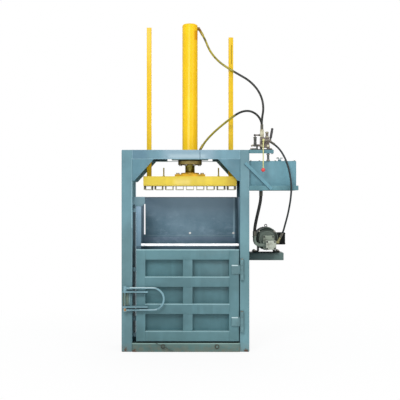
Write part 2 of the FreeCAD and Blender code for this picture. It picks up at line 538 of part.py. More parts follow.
# ---------------------------------------------------------------- oil tank
TANK_X = (f"{RIGHT_OUT} + tank_gap", f"{RIGHT_OUT} + tank_gap + tank_width")
TANK_Y = (f"{FRONT} + tank_setback", f"{FRONT} + tank_setback + tank_depth")
TANK_LOW = "(frame_height - tank_drop)"
TANK_TOP = f"({TANK_LOW} + tank_height)"
OUTLET_LOW = f"({TANK_LOW} - shelf_plate - suction_stub)"
LID_TOP = f"({TANK_TOP} + lid_plate)"
SUCTION = (f"({TANK_X[0]} + suction_offset - tank_gap)", f"({TANK_Y[0]} + suction_inset)")
CAP = (f"({TANK_X[0]} + cap_offset)", f"({TANK_Y[0]} + cap_inset)")
RETURN = (f"({RIGHT_OUT} + valve_left + valve_width - leg_inset + leg_width / 2)",
          f"({FRONT} + valve_setback + valve_depth / 2)")
outlet = bar("z", (*SUCTION, OUTLET_LOW), "suction_radius",
             "suction_stub + shelf_plate + tank_wall")
outlet_bore = bar("z", (*SUCTION, f"{OUTLET_LOW} - 1"), "suction_radius - tank_wall",
                  "suction_stub + shelf_plate + tank_wall + 2")
node("oil_tank", less(fused(hollow(TANK_X, TANK_Y, (TANK_LOW, TANK_TOP), "tank_wall", "t"), outlet),
                      outlet_bore))
lid = block(TANK_X, TANK_Y, (TANK_TOP, LID_TOP))
filler_neck = bar("z", (*CAP, LID_TOP), "neck_radius", "neck_height")
neck_bore = bar("z", (*CAP, f"{TANK_TOP} - 1"), "stem_radius + fit_gap", "lid_plate + neck_height + 2")
node("tank_lid", less(fused(lid, filler_neck), neck_bore))
stem = bar("z", (*CAP, LID_TOP), "stem_radius", "neck_height + cap_lift")
mushroom = bar("z", (*CAP, f"{LID_TOP} + neck_height + cap_lift"), "cap_radius", "cap_thickness")
node("breather_cap", fused(stem, mushroom))

# Folded tray under the tank, on the column's side, with a diagonal flat bar in front
SHELF_X = (RIGHT_OUT, f"{TANK_X[1]} + shelf_overhang")
SHELF_Y = (FRONT, f"{TANK_Y[1]} + shelf_overhang")
tray = hollow(SHELF_X, SHELF_Y, (f"{TANK_LOW} - shelf_plate - shelf_lip", TANK_LOW), "shelf_plate", "d")
tray_hole = bar("z", (*SUCTION, f"{TANK_LOW} - shelf_plate - 1"), "suction_radius + 1", "shelf_plate + 2")
node("tank_shelf", less(tray, tray_hole))
brace = doc.addObject("Part::Box", "brace")
for side, formula in (("Length", "brace_length"), ("Width", "brace_plate"), ("Height", "brace_width")):
    brace.setExpression(side, bound(formula))
brace.Placement.Rotation = FreeCAD.Rotation(FreeCAD.Vector(0, 1, 0), 45)
node("tank_brace", put(brace, (f"{RIGHT_OUT} - brace_lap", f"{FRONT} - brace_plate",
                               "frame_height - brace_drop")))

# ---------------------------------------------------------------- hand valve
VALVE_SHELF_Y = (FRONT, f"{FRONT} + valve_shelf_depth")
valve_tray = hollow((RIGHT_OUT, f"{RIGHT_OUT} + valve_shelf_width"), VALVE_SHELF_Y,
                    ("frame_height - valve_shelf_lip - frame_plate", "frame_height"), "frame_plate", "dlb")
return_hole = bar("z", (*RETURN, "frame_height - frame_plate - 1"), "return_radius + 1", "frame_plate + 2")
node("valve_shelf", less(valve_tray, return_hole))
node("return_pipe", bar("z", (*RETURN, LID_TOP), "return_radius", f"frame_height - {LID_TOP}"))

VALVE_X = (f"{RIGHT_OUT} + valve_left", f"{RIGHT_OUT} + valve_left + valve_width")
VALVE_Y = (f"{FRONT} + valve_setback", f"{FRONT} + valve_setback + valve_depth")
VALVE_Z = ("frame_height + valve_low", "frame_height + valve_low + valve_height")
VALVE_TOP = f"({VALVE_Z[1]})"
MIDDLE_Y = f"({FRONT} + valve_setback + valve_depth / 2)"
BASE_TOP = "(frame_height + base_plate)"
leg = block((f"{VALVE_X[1]} - leg_inset", f"{VALVE_X[1]} - leg_inset + leg_width"),
            (f"{MIDDLE_Y} - leg_width", f"{MIDDLE_Y} + leg_width"), (BASE_TOP, f"{VALVE_Z[0]} + 20"))
back_leg = block((VALVE_X[0], f"{VALVE_X[0]} + leg_inset"),
                 (MIDDLE_Y, f"{MIDDLE_Y} + leg_width"), (BASE_TOP, f"{VALVE_Z[0]} + 1"))
base = block((f"{RIGHT_OUT} + base_left", f"{RIGHT_OUT} + base_left + base_width"), VALVE_Y,
             ("frame_height", f"{BASE_TOP}"))
UNION_X = f"({VALVE_X[0]} + union_inset)"
UNION_Y = (f"({MIDDLE_Y} + union_pitch / 2)", f"({MIDDLE_Y} - union_pitch / 2)")
union_block = block((f"{UNION_X} - union_radius - 3", f"{UNION_X} + union_radius + 3"),
                    (f"{UNION_Y[1]} - union_radius", f"{UNION_Y[0]} + union_radius"),
                    (f"{VALVE_TOP} - 1", f"{VALVE_TOP} + union_height"))
tips = [bar("z", (UNION_X, y, f"{VALVE_TOP} + union_height - 1"), "nipple_radius", "union_tip + 1")
        for y in UNION_Y]
RELIEF_X = f"({VALVE_X[0]} - relief_offset)"
RELIEF_LOW = f"({VALVE_Z[0]} + relief_rise)"
RELIEF_TOP = f"({RELIEF_LOW} + relief_height)"
relief = bar("z", (RELIEF_X, MIDDLE_Y, RELIEF_LOW), "relief_radius", "relief_height")
relief_arm = block((RELIEF_X, f"{VALVE_X[0]} + 1"), (f"{MIDDLE_Y} - 10", f"{MIDDLE_Y} + 10"),
                   (RELIEF_LOW, f"{RELIEF_LOW} + 22"))
riser = bar("z", (RELIEF_X, MIDDLE_Y, f"{RELIEF_TOP} - 1"), "relief_line_radius - 1",
            "relief_line_rise + 1")
relief_line = bar("x", (f"{RELIEF_X} - relief_radius", MIDDLE_Y, f"{RELIEF_TOP} + relief_line_rise"),
                  "relief_line_radius", "relief_offset + union_inset + relief_radius")
screw = bar("tilt", (RELIEF_X, MIDDLE_Y, f"{RELIEF_LOW} + 20"), "relief_line_radius",
            "relief_screw_length", "relief_screw_angle")
spool_cap = bar("y", (f"{VALVE_X[0]} + spool_cap_radius + 4", f"{VALVE_Y[0]} - 14",
                      f"{VALVE_Z[0]} + spool_cap_radius + 4"), "spool_cap_radius", "15")
gauge_stem = bar("z", (f"{VALVE_X[1]} - 20", MIDDLE_Y, f"{VALVE_TOP} - 1"), "union_radius",
                 "gauge_stem_height")
PRESSURE_PORT = (f"({VALVE_X[1]} - 8)", MIDDLE_Y, f"({VALVE_TOP} - 28)")
pressure_port = bar("tilt", PRESSURE_PORT, "nipple_radius - 2", "pressure_nipple_length",
                    "pressure_nipple_angle")
PIVOT = (VALVE_X[0], f"({FRONT} - pivot_reach)", f"({VALVE_TOP} - pivot_drop)")
ears = [block((x, f"{x} + ear_plate"), (f"{PIVOT[1]} - pivot_radius - 5", f"{VALVE_Y[0]} + 1"),
              (f"{PIVOT[2]} - pivot_radius - 5", f"{PIVOT[2]} + pivot_radius + 5"))
        for x in (f"{VALVE_X[0]} + 2", f"{VALVE_X[1]} - 32")]
pivot_bore = bar("x", (f"{PIVOT[0]} - 10", PIVOT[1], PIVOT[2]), "pivot_radius + fit_gap",
                 "valve_width + 20")
valve_case = less(fused(block(VALVE_X, VALVE_Y, VALVE_Z), *ears), pivot_bore)
node("valve_body", fused(valve_case, base, leg, back_leg, union_block, *tips, relief, relief_arm,
                         riser, relief_line, screw, spool_cap, gauge_stem, pressure_port))

# Hand lever: a cross shaft in the valve's ears, a long rod down with a ball, and a grip up
LEVER_X = f"({VALVE_X[0]} + lever_inset)"
GRIP_X = f"({VALVE_X[1]} + 4)"
shaft = bar("x", (VALVE_X[0], PIVOT[1], PIVOT[2]), "pivot_radius", f"{GRIP_X} + 6 - ({VALVE_X[0]})")
long_rod = bar("z", (LEVER_X, PIVOT[1], f"{PIVOT[2]} - lever_length"), "lever_radius", "lever_length")
hub = bar("x", (f"{LEVER_X} - 11", PIVOT[1], PIVOT[2]), "pivot_radius + 4", "22")
grip = bar("tilt", (GRIP_X, PIVOT[1], PIVOT[2]), "grip_radius", "grip_length", "-grip_angle")
grip_knob = ball((f"{GRIP_X} + grip_length * cos(grip_angle * 1 deg)", PIVOT[1],
                  f"{PIVOT[2]} + grip_length * sin(grip_angle * 1 deg)"), "grip_knob")
node("hand_lever", fused(shaft, long_rod, hub, grip, grip_knob))
BALL_Z = f"({PIVOT[2]} - lever_length - ball_radius + 4)"
node("lever_ball", less(ball((LEVER_X, PIVOT[1], BALL_Z), "ball_radius"),
                        bar("z", (LEVER_X, PIVOT[1], f"{PIVOT[2]} - lever_length"), "lever_radius", "20")))

# ---------------------------------------------------------------- motor and pump
MOTOR_SHELF_Y = ("-motor_shelf_front", "(motor_shelf_depth - motor_shelf_front)")
node("motor_shelf", hollow((RIGHT_OUT, f"{RIGHT_OUT} + motor_shelf_width"), MOTOR_SHELF_Y,
                           ("motor_shelf_top - motor_shelf_lip - frame_plate", "motor_shelf_top"),
                           "frame_plate", "d"))
MOTOR_X = f"({RIGHT_OUT} + motor_offset)"
MOTOR_Z = "(motor_shelf_top + motor_height)"
SHELL_FRONT = "(-motor_front)"
SHELL_BACK = "(motor_length - motor_front)"
COWL_BACK = f"({SHELL_BACK} + cowl_length)"


def motor_disc(radius, low, length):
    """A round of the motor, on its shaft's line."""
    return bar("y", (MOTOR_X, low, MOTOR_Z), radius, length)


def fin(turn):
    """A cooling fin along the shell, every so many degrees round it."""
    item = doc.addObject("Part::Box", "fin")
    item.setExpression("Length", bound("fin_width"))
    item.setExpression("Width", bound("motor_length"))
    item.setExpression("Height", bound("motor_radius + fin_height"))
    angle = f"({turn} * 360 / fin_count)"
    item.Placement.Rotation = FreeCAD.Rotation(FreeCAD.Vector(0, 1, 0), 1)
    item.setExpression("Placement.Rotation.Angle", bound(angle))
    return put(item, (f"{MOTOR_X} - fin_width / 2 * cos({angle} * 1 deg)", SHELL_FRONT,
                      f"{MOTOR_Z} + fin_width / 2 * sin({angle} * 1 deg)"))


shield = doc.addObject("Part::Cone", "shield")
shield.setExpression("Radius1", bound("shield_radius"))
shield.setExpression("Radius2", bound("motor_radius + 4"))
shield.setExpression("Height", bound("shield_length"))
shield.Placement.Rotation = FreeCAD.Rotation(FreeCAD.Vector(1, 0, 0), -90)
put(shield, (MOTOR_X, f"{SHELL_FRONT} - shield_length", MOTOR_Z))
FOOT_TOP = "(motor_shelf_top + foot_height)"
feet = []
for side in (-1, 1):
    centre = f"({MOTOR_X} + {side} * foot_spread / 2)"
    web = f"({MOTOR_X} + {side} * (foot_spread - foot_width) / 2)"
    feet.append(block((f"{centre} - foot_width / 2", f"{centre} + foot_width / 2"), ("0", "foot_length"),
                      ("motor_shelf_top", FOOT_TOP)))
    feet.append(block((f"{web} - foot_web / 2", f"{web} + foot_web / 2"), ("0", "foot_length"),
                      (f"{FOOT_TOP} - 1", f"{MOTOR_Z} - motor_radius / 2")))
EYE_Z = f"({MOTOR_Z} + motor_radius + fin_height + eye_bolt_radius)"
eye = doc.addObject("Part::Torus", "eye")
eye.setExpression("Radius1", bound("eye_bolt_radius"))
eye.setExpression("Radius2", bound("eye_wire"))
eye.Placement.Rotation = FreeCAD.Rotation(FreeCAD.Vector(1, 0, 0), 90)
put(eye, (MOTOR_X, "motor_length / 2 - motor_front", EYE_Z))
terminal_box = block((f"{MOTOR_X} + motor_radius - 12", f"{MOTOR_X} + motor_radius + box_width"),
                     ("-10", "box_length - 10"), (f"{MOTOR_Z} - box_height / 2",
                                                  f"{MOTOR_Z} + box_height / 2"))
case = fused(motor_disc("motor_radius", SHELL_FRONT, "motor_length"), shield, *feet, eye, terminal_box,
             *[fin(turn) for turn in range(int(size("fin_count")))])
node("motor_housing", less(
    case, motor_disc("stator_bore", SHELL_FRONT, "motor_length - shield_length / 2"),
    motor_disc("shaft_radius + fit_gap", f"{SHELL_FRONT} - shield_length - 1",
               "motor_length + shield_length + 2")))
cowl = less(motor_disc("motor_radius + 4", SHELL_BACK, "cowl_length"),
            motor_disc("motor_radius + 4 - cowl_wall", f"{SHELL_BACK} - 1", "cowl_length - cowl_wall + 1"),
            *[bar("y", (f"{MOTOR_X} + motor_radius * 0.6 * cos({angle} deg)",
                        f"{COWL_BACK} - cowl_wall - 1",
                        f"{MOTOR_Z} + motor_radius * 0.6 * sin({angle} deg)"), "motor_radius * 0.13",
                  "cowl_wall + 2") for angle in range(0, 360, 36)])
node("fan_cowl", cowl)
ROTOR_FRONT = f"({SHELL_FRONT} - shield_length)"
node("motor_rotor", fused(
    motor_disc("shaft_radius", ROTOR_FRONT, f"{COWL_BACK} - 20 - {ROTOR_FRONT}"),
    motor_disc("stator_bore - rotor_gap", f"{SHELL_FRONT} + 10", "motor_length - shield_length / 2 - 20"),
    motor_disc("fan_radius", f"{COWL_BACK} - 24 - fan_thickness", "fan_thickness")))

PUMP_BACK = f"({ROTOR_FRONT})"
PLATE_FRONT = f"({PUMP_BACK} - pump_plate)"
PUMP_X = f"({MOTOR_X} + pump_shift)"
PUMP_Z = f"({MOTOR_Z} - pump_drop)"
PUMP_FRONT = f"({PLATE_FRONT} - pump_length)"
PLATE_X = f"(({MOTOR_X} + {PUMP_X}) / 2)"
PLATE_TOP = f"({MOTOR_Z} + pump_plate_rise)"
mount_plate = block((f"{PLATE_X} - pump_plate_width / 2", f"{PLATE_X} + pump_plate_width / 2"),
                    (PLATE_FRONT, PUMP_BACK), (f"{PLATE_TOP} - pump_plate_height", PLATE_TOP))
PUMP_SPAN_X = (f"{PUMP_X} - pump_width / 2", f"{PUMP_X} + pump_width / 2")
PUMP_SPAN_Z = (f"{PUMP_Z} - pump_height / 2", f"{PUMP_Z} + pump_height / 2")
pump_case = block(PUMP_SPAN_X, (PUMP_FRONT, PLATE_FRONT), PUMP_SPAN_Z)
pump_bolts = [bar("y", (f"{PUMP_X} {x} pump_width * 0.37", f"{PUMP_FRONT} - 8",
                        f"{PUMP_Z} {z} pump_height * 0.37"), "6", "9") for x in "-+" for z in "-+"]
OUTLET_Y = f"({PLATE_FRONT} - pump_length / 2)"
OUTLET_X = f"({PUMP_SPAN_X[1]} + outlet_width - outlet_height / 2)"
OUTLET_TOP = f"({PUMP_Z} + outlet_level + outlet_height / 2)"
outlet_block = block((f"{PUMP_SPAN_X[1]} - 1", f"{PUMP_SPAN_X[1]} + outlet_width"),
                     (f"{OUTLET_Y} - outlet_height / 2", f"{OUTLET_Y} + outlet_height / 2"),
                     (f"{OUTLET_TOP} - outlet_height", OUTLET_TOP))
outlet_tip = bar("tilt", (OUTLET_X, OUTLET_Y, f"{OUTLET_TOP} - 8"), "nipple_radius - 2",
                 "outlet_rise + 8", "-outlet_angle")
node("gear_pump", fused(mount_plate, pump_case, *pump_bolts, outlet_block, outlet_tip))


def vector(*numbers):
    """A point or a direction."""
    return FreeCAD.Vector(*numbers)


def numbers(*formulas):
    """Works formulas over the sheet's names out in the document."""
    probe = doc.addObject("App::FeaturePython", "probe")
    values = []
    for turn, formula in enumerate(formulas):
        probe.addProperty("App::PropertyFloat", f"value_{turn}")
        probe.setExpression(f"value_{turn}", bound(f"({formula}) + 0"))
    doc.recompute()
    for turn in range(len(formulas)):
        values.append(getattr(probe, f"value_{turn}"))
    doc.removeObject(probe.Name)
    return values


def solid(label, shape):
    """A finished shape as a piece of its own."""
    item = doc.addObject("Part::Feature", "solid")
    item.Shape = shape
    return node(label, item)


def pipe(path, radius):
    """A round tube's solid along a wire of straight runs and arcs that touch."""
    first = path.Edges[0]
    start = first.valueAt(first.FirstParameter)
    tangent = first.tangentAt(first.FirstParameter)
    section = Part.Wire(Part.makeCircle(radius, start, tangent))
    shell_maker = Part.BRepOffsetAPI.MakePipeShell(path)
    shell_maker.setTransitionMode(0)
    shell_maker.add(section)
    shell_maker.build()
    shell_maker.makeSolid()
    return shell_maker.shape()


def route(points):
    """A wire through corner points, each turned by an arc as large as its two runs allow."""
    share = size("bend_share")
    edges = []
    start = points[0]
    radii = []
    for before, corner, after in zip(points, points[1:], points[2:]):
        back, ahead = before - corner, after - corner
        shorter = min(back.Length, ahead.Length)
        turn = math.pi - back.getAngle(ahead)
        cut = share * shorter
        entry = corner + vector(*back).normalize() * cut
        leave = corner + vector(*ahead).normalize() * cut
        radius = cut / math.tan(turn / 2)
        radii.append(radius)
        bisector = (vector(*back).normalize() + vector(*ahead).normalize()).normalize()
        middle = corner + bisector * (math.hypot(radius, cut) - radius)
        edges.append(Part.LineSegment(start, entry).toShape())
        edges.append(Part.Arc(entry, middle, leave).toShape())
        start = leave
    edges.append(Part.LineSegment(start, points[-1]).toShape())
    return Part.Wire(edges), radii


# Suction elbow: down from the hose, round a bend and into the pump's left side
elbow_x, elbow_y, elbow_z, bend_radius, rise, run = numbers(
    PUMP_SPAN_X[0], OUTLET_Y, PUMP_Z, "elbow_bend", "elbow_rise", "elbow_run")
elbow_top = vector(elbow_x - run - bend_radius, elbow_y, elbow_z + bend_radius + rise)
elbow_edges = [
    Part.LineSegment(elbow_top, elbow_top - vector(0, 0, rise)).toShape(),
    Part.Arc(elbow_top - vector(0, 0, rise),
             vector(elbow_x - run - bend_radius * math.cos(math.pi / 4), elbow_y,
                    elbow_z + bend_radius * (1 - math.sin(math.pi / 4))),
             vector(elbow_x - run, elbow_y, elbow_z)).toShape(),
    Part.LineSegment(vector(elbow_x - run, elbow_y, elbow_z), vector(elbow_x, elbow_y, elbow_z)).toShape()]
elbow_path = Part.Wire(elbow_edges)
elbow = pipe(elbow_path, size("elbow_radius"))
solid("suction_elbow", elbow.fuse([
    Part.makeCylinder(size("elbow_radius") + 4, 10, elbow_top - vector(0, 0, 12)),
    Part.makeCylinder(size("elbow_radius") + 6, 10, vector(elbow_x - 10, elbow_y, elbow_z),
                      vector(1, 0, 0))]))

# ---------------------------------------------------------------- hoses
# Each starts and ends along the axis of the fitting that it is pushed on. The corners between are places
# chosen by hand for the fittings' own places, HOME, and go along where a size moves a fitting.


def hose(label, diameter, start, end, home, corners):
    """A hose's plain tube, with its radii and its volume against section times length printed. Start and
    end are each a fitting's mouth and the next corner, which lies straight out of it."""
    drift = start[0] - vector(*home[0]), end[1] - vector(*home[1])
    shares = [(turn + 1) / (len(corners) + 1) for turn in range(len(corners))]
    carried = [vector(*corner) + drift[0] * (1 - share) + drift[1] * share
               for corner, share in zip(corners, shares)]
    wire, radii = route([*start, *carried, *end])
    tube = pipe(wire, diameter / 2)
    plain = math.pi * diameter ** 2 / 4 * wire.Length
    print(f"{label}: length {wire.Length:.0f}, radii {min(radii):.0f} to {max(radii):.0f}, "
          f"volume ratio {tube.Volume / plain:.4f}, ends {start[0]} {end[1]}")
    solid(label, tube)


boss_end, top_port, low_port, nipple = numbers(
    f"{BOSS_END} - nipple_radius / 2", PORT_TOP, PORT_LOW, "nipple_length")
down = math.radians(size("top_nipple_angle"))
up = math.radians(size("lower_nipple_angle"))
top_aim = vector(math.cos(down), 0, -math.sin(down))
low_aim = vector(math.cos(up), 0, math.sin(up))
top_start = vector(boss_end, 0, top_port) + top_aim * nipple
low_end = vector(boss_end, 0, low_port) + low_aim * nipple
union_x, union_back, union_front, union_z = numbers(
    UNION_X, UNION_Y[0], UNION_Y[1], f"{VALVE_TOP} + union_height + union_tip")
back_union = vector(union_x, union_back, union_z)
front_union = vector(union_x, union_front, union_z)
lift = vector(0, 0, 1)

hose("top_hose", size("ram_hose"), [top_start, top_start + top_aim * size("ram_run")],
     [back_union + lift * size("union_run"), back_union],
     ((111.5, 0, 3260.56), (723, -215, 2232)),
     [(198, -12, 3068), (280, -28, 2960), (385, -52, 2878), (500, -85, 2806), (602, -122, 2740),
      (682, -160, 2650), (730, -195, 2545), (742, -220, 2435)])
hose("lower_hose", size("ram_hose"), [front_union, front_union + lift * size("lower_union_run")],
     [low_end + low_aim * size("lower_ram_run"), low_end],
     ((723, -245, 2232), (111.5, 0, 2050.44)),
     [(700, -251, 2344), (659, -246, 2389), (607, -232, 2415), (549, -212, 2419), (487, -184, 2399),
      (415, -146, 2351), (338, -102, 2293), (259, -54, 2229), (192, -17, 2163)])

port_x, port_y, port_z, port_length = numbers(*PRESSURE_PORT, "pressure_nipple_length")
slope = math.radians(size("pressure_nipple_angle"))
port_aim = vector(math.cos(slope), 0, -math.sin(slope))
port_end = vector(port_x, port_y, port_z) + port_aim * port_length
outlet_x, outlet_y, outlet_z, outlet_length = numbers(
    OUTLET_X, OUTLET_Y, f"{OUTLET_TOP} - 8", "outlet_rise + 8")
slope = math.radians(size("outlet_angle"))
tip_aim = vector(math.cos(slope), 0, math.sin(slope))
pump_tip = vector(outlet_x, outlet_y, outlet_z) + tip_aim * outlet_length
hose("pressure_hose", size("pressure_hose"), [port_end, port_end + port_aim * size("port_run")],
     [pump_tip + tip_aim * size("pump_run"), pump_tip],
     ((812.16, -230, 2103.66), (920.35, -137, 1142.68)),
     [(914, -247, 2013), (957, -270, 1930), (985, -292, 1840), (1002, -309, 1745), (1010, -318, 1650),
      (1006, -310, 1557), (996, -286, 1468), (984, -249, 1384), (971, -205, 1312), (959, -166, 1252)])

tank_outlet = vector(*numbers(*SUCTION, OUTLET_LOW))
hose("suction_hose", size("suction_hose"), [tank_outlet, tank_outlet - lift * size("tank_run")],
     [elbow_top + lift * size("elbow_top_run"), elbow_top],
     ((722, -140, 1610), (657, -137, 1153)), [(707, -140, 1458), (681, -139, 1349), (662, -138, 1256)])

# ---------------------------------------------------------------- check and write
doc.recompute()
faults = [item.Label for item in doc.Objects if {"Invalid", "Error"} & set(item.State)]
faults += [item.Label for item in nodes if item.Shape.isNull() or not item.Shape.isValid()
           or not item.Shape.Solids]
if faults:
    raise RuntimeError(f"failed objects: {faults}")
os.makedirs("parts", exist_ok=True)
for item in nodes:
    item.Shape.exportStep(f"parts/{item.Label}.step")
    print(f"{item.Label}: {len(item.Shape.Solids)} solid(s), {item.Shape.Volume / 1000:.0f} cm3")
print(f"{len(nodes)} pieces")
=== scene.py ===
import math

import bmesh
import bpy
from mathutils import Matrix, Vector


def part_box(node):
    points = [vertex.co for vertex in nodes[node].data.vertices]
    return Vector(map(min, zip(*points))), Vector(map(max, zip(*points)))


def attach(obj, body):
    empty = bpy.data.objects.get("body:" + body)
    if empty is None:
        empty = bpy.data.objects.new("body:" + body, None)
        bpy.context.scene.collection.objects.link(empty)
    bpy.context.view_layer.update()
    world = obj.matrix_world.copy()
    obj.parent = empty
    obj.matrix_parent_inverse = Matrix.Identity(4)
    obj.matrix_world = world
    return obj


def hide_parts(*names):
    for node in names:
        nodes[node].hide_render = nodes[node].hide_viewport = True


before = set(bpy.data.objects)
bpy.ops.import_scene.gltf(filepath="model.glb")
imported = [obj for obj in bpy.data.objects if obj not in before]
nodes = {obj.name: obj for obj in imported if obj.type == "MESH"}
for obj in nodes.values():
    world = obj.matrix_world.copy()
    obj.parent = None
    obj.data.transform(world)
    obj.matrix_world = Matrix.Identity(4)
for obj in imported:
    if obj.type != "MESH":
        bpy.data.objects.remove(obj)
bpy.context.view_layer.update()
scene = bpy.context.scene

# ---- Studio ----
# The baler stands on a white floor in front of nothing, in soft light that comes mostly from the upper
# left. The camera is at chest height, eight metres away and square to the door, its lens shifted right.


def add(name, data):
    """A new object of the scene."""
    thing = bpy.data.objects.new(name, data)
    scene.collection.objects.link(thing)
    return thing


def feed(tree, socket, value):
    """Links a socket to another one, or gives it a plain value."""
    source = getattr(value, "socket", value)
    if isinstance(source, bpy.types.NodeSocket):
        tree.links.new(source, socket)
    else:
        socket.default_value = source


def add_node(tree, kind, sockets=None, output=0, **settings):
    """One output of a new node with these settings, whose sockets are fed; a list feeds one socket."""
    made = tree.nodes.new(kind)
    for key, value in settings.items():
        setattr(made, key, value)
    for key, value in (sockets or {}).items():
        for source in value if isinstance(value, list) else [value]:
            feed(tree, made.inputs[key], source)
    return made.outputs[output] if made.outputs else None


def emptied(holder):
    """The node tree of a world or material, without the nodes it comes with."""
    holder.use_nodes = True
    holder.node_tree.nodes.clear()
    return holder.node_tree


camera = add("camera", bpy.data.cameras.new("camera"))
camera.location = (0.0, -8.33, 1.52)
camera.rotation_euler = (math.radians(90), 0, 0)
camera.data.sensor_width = 36
camera.data.lens = 72.45
camera.data.shift_x = 0.025
camera.data.clip_end = 80
scene.camera = camera
scene.view_settings.view_transform = "Standard"

scene.world = bpy.data.worlds.new("white_room")
sky = emptied(scene.world)
seen = 0.0
for ray in ("Is Camera Ray", "Is Glossy Ray", "Is Transmission Ray"):
    seen = add_node(sky, "ShaderNodeMath", {0: seen, 1: add_node(sky, "ShaderNodeLightPath", output=ray)},
                    operation="MAXIMUM")
daylight = add_node(sky, "ShaderNodeBackground", {"Color": (0.97, 0.985, 1.0, 1), "Strength": 0.55})
backdrop = add_node(sky, "ShaderNodeBackground", {"Color": (1, 1, 1, 1), "Strength": 1.0})
add_node(sky, "ShaderNodeOutputWorld", {
    0: add_node(sky, "ShaderNodeMixShader", {0: seen, 1: daylight, 2: backdrop})})

for name, place, width, power, height in (
        ("key", (-2.2, -6.6, 5.6), 2.4, 285.0, 1.4), ("fill", (4.2, -5.2, 5.2), 3.0, 100.0, 2.4),
        ("front", (0.6, -8.4, 2.2), 2.0, 60.0, 1.2), ("back", (1.0, 5.5, 4.5), 5.0, 170.0, 1.4)):
    lamp = add(f"{name}_lamp", bpy.data.lights.new(f"{name}_lamp", "AREA"))
    lamp.data.shape = "SQUARE"
    lamp.data.size = width
    lamp.data.energy = power
    lamp.location = place
    lamp.rotation_euler = (Vector((0.1, 0, height)) - lamp.location).to_track_quat("-Z", "Y").to_euler()

floor_mesh = bpy.data.meshes.new("floor")
floor_mesh.from_pydata([(-20, -20, -0.002), (20, -20, -0.002), (20, 20, -0.002), (-20, 20, -0.002)], [],
                       [(0, 1, 2, 3)])
floor = add("floor", floor_mesh)
floor_white = bpy.data.materials.new("floor_white")
ground = emptied(floor_white)
away = add_node(ground, "ShaderNodeVectorMath", {0: add_node(ground, "ShaderNodeTexCoord", output="Object")},
                "Value", operation="LENGTH")
share = add_node(ground, "ShaderNodeMapRange", {
    "Value": away, "From Min": 1.0, "From Max": 3.5, "To Min": 0.90, "To Max": 1.0})
share = add_node(ground, "ShaderNodeMath", {
    0: add_node(ground, "ShaderNodeLightPath", output="Is Camera Ray"), 1: share}, operation="MULTIPLY")
matt = add_node(ground, "ShaderNodeBsdfDiffuse", {"Color": (0.9, 0.9, 0.9, 1)})
glow = add_node(ground, "ShaderNodeEmission", {"Strength": 1.0})
add_node(ground, "ShaderNodeOutputMaterial", {
    0: add_node(ground, "ShaderNodeMixShader", {0: share, 1: matt, 2: glow})})
floor_mesh.materials.append(floor_white)

# ---- Columns ----
# Two box columns folded from 8 mm plate carry everything. They are sprayed grey-blue over the mill's
# light texture, dusty and rusted at the foot, with small chips where they were struck.


class Value:
    """A socket of a finish, on which sums are written as Python expressions."""

    def __init__(self, finish, socket):
        self.finish, self.socket = finish, socket

    def sum(self, operation, first, second):
        return self.finish.node("ShaderNodeMath", {0: first, 1: second}, operation=operation)

    def __add__(self, other):
        return self.sum("ADD", self, other)

    def __sub__(self, other):
        return self.sum("SUBTRACT", self, other)

    def __mul__(self, other):
        return self.sum("MULTIPLY", self, other)

    def __rsub__(self, other):
        return self.sum("SUBTRACT", other, self)


class Finish:
    """A procedural material: its nodes are added one by one, and read the object's own coordinates."""

    def __init__(self, name, **plain):
        self.material = bpy.data.materials.new(name)
        self.material.use_nodes = True
        self.tree = self.material.node_tree
        self.set(**plain)

    def set(self, **sockets):
        for name, value in sockets.items():
            feed(self.tree, self.tree.nodes["Principled BSDF"].inputs[name.replace("_", " ")], value)

    def node(self, kind, sockets=None, output=0, **settings):
        return Value(self, add_node(self.tree, kind, sockets, output, **settings))

    def own(self):
        return self.node("ShaderNodeTexCoord", output="Object")

    def noise(self, scale, detail=3.0, rough=0.55, stretch=(1, 1, 1), turn=(0, 0, 0)):
        placed = self.node("ShaderNodeMapping", {"Vector": self.own(), "Scale": stretch, "Rotation": turn})
        return self.node("ShaderNodeTexNoise", {
            "Vector": placed, "Scale": scale, "Detail": detail, "Roughness": rough})

    def between(self, value, low, high, first=0.0, last=1.0):
        """First at a low value and last at a high one, with an eased step from one to the other."""
        return self.node("ShaderNodeMapRange", {
            "Value": value, "From Min": low, "From Max": high, "To Min": first, "To Max": last},
            interpolation_type="SMOOTHSTEP")

    def mix(self, mask, first, second):
        return self.node("ShaderNodeMix", {0: mask, 6: first, 7: second}, 2, data_type="RGBA")

    def along(self, axis):
        return self.node("ShaderNodeSeparateXYZ", {0: self.own()}, axis)

    def near(self, centre, inner, outer):
        """One within a short way of a place, nothing past a longer way."""
        away = self.node("ShaderNodeVectorMath", {0: self.own(), 1: centre}, "Value", operation="DISTANCE")
        return self.between(away, inner, outer, 1.0, 0.0)

    def within(self, box, soft=0.004):
        """One inside a box given by its spans along some of X, Y and Z, fading over a short way."""
        inside = 1.0
        for axis, (low, high) in box.items():
            own = self.along(axis)
            inside = self.between(own, low - soft, low + soft) * inside
            inside = self.between(own, high - soft, high + soft, 1.0, 0.0) * inside
        return inside

    def marked(self, shade, marks):
        """A colour with marks laid over it, and the share of the surface that they leave unmarked."""
        unmarked = 1.0
        for colour, amount, soft, box in marks:
            cover = self.within(box, soft) * amount
            shade = self.mix(cover, shade, tint(*colour))
            unmarked = (1.0 - cover) * unmarked
        return shade, unmarked

    def bump(self, height, strength, distance=0.001):
        self.set(Normal=self.node("ShaderNodeBump", {
            "Height": height, "Strength": strength, "Distance": distance}))


def mark(colour, amount=0.8, soft=0.003, **box):
    """A mark on a finish: its colour, its strength, the way it fades over, and its spans."""
    return colour, amount, soft, box


def tint(red, green, blue):
    """A colour as a painter's card gives it, 0 to 255, as the renderer counts it."""
    channels = [((v / 255 + 0.055) / 1.055) ** 2.4 if v > 10 else v / 3294 for v in (red, green, blue)]
    return (*channels, 1)


def shades(colour, *factors):
    """Darker and paler shades of one colour."""
    return [tint(*[min(255, channel * factor) for channel in colour]) for factor in factors]


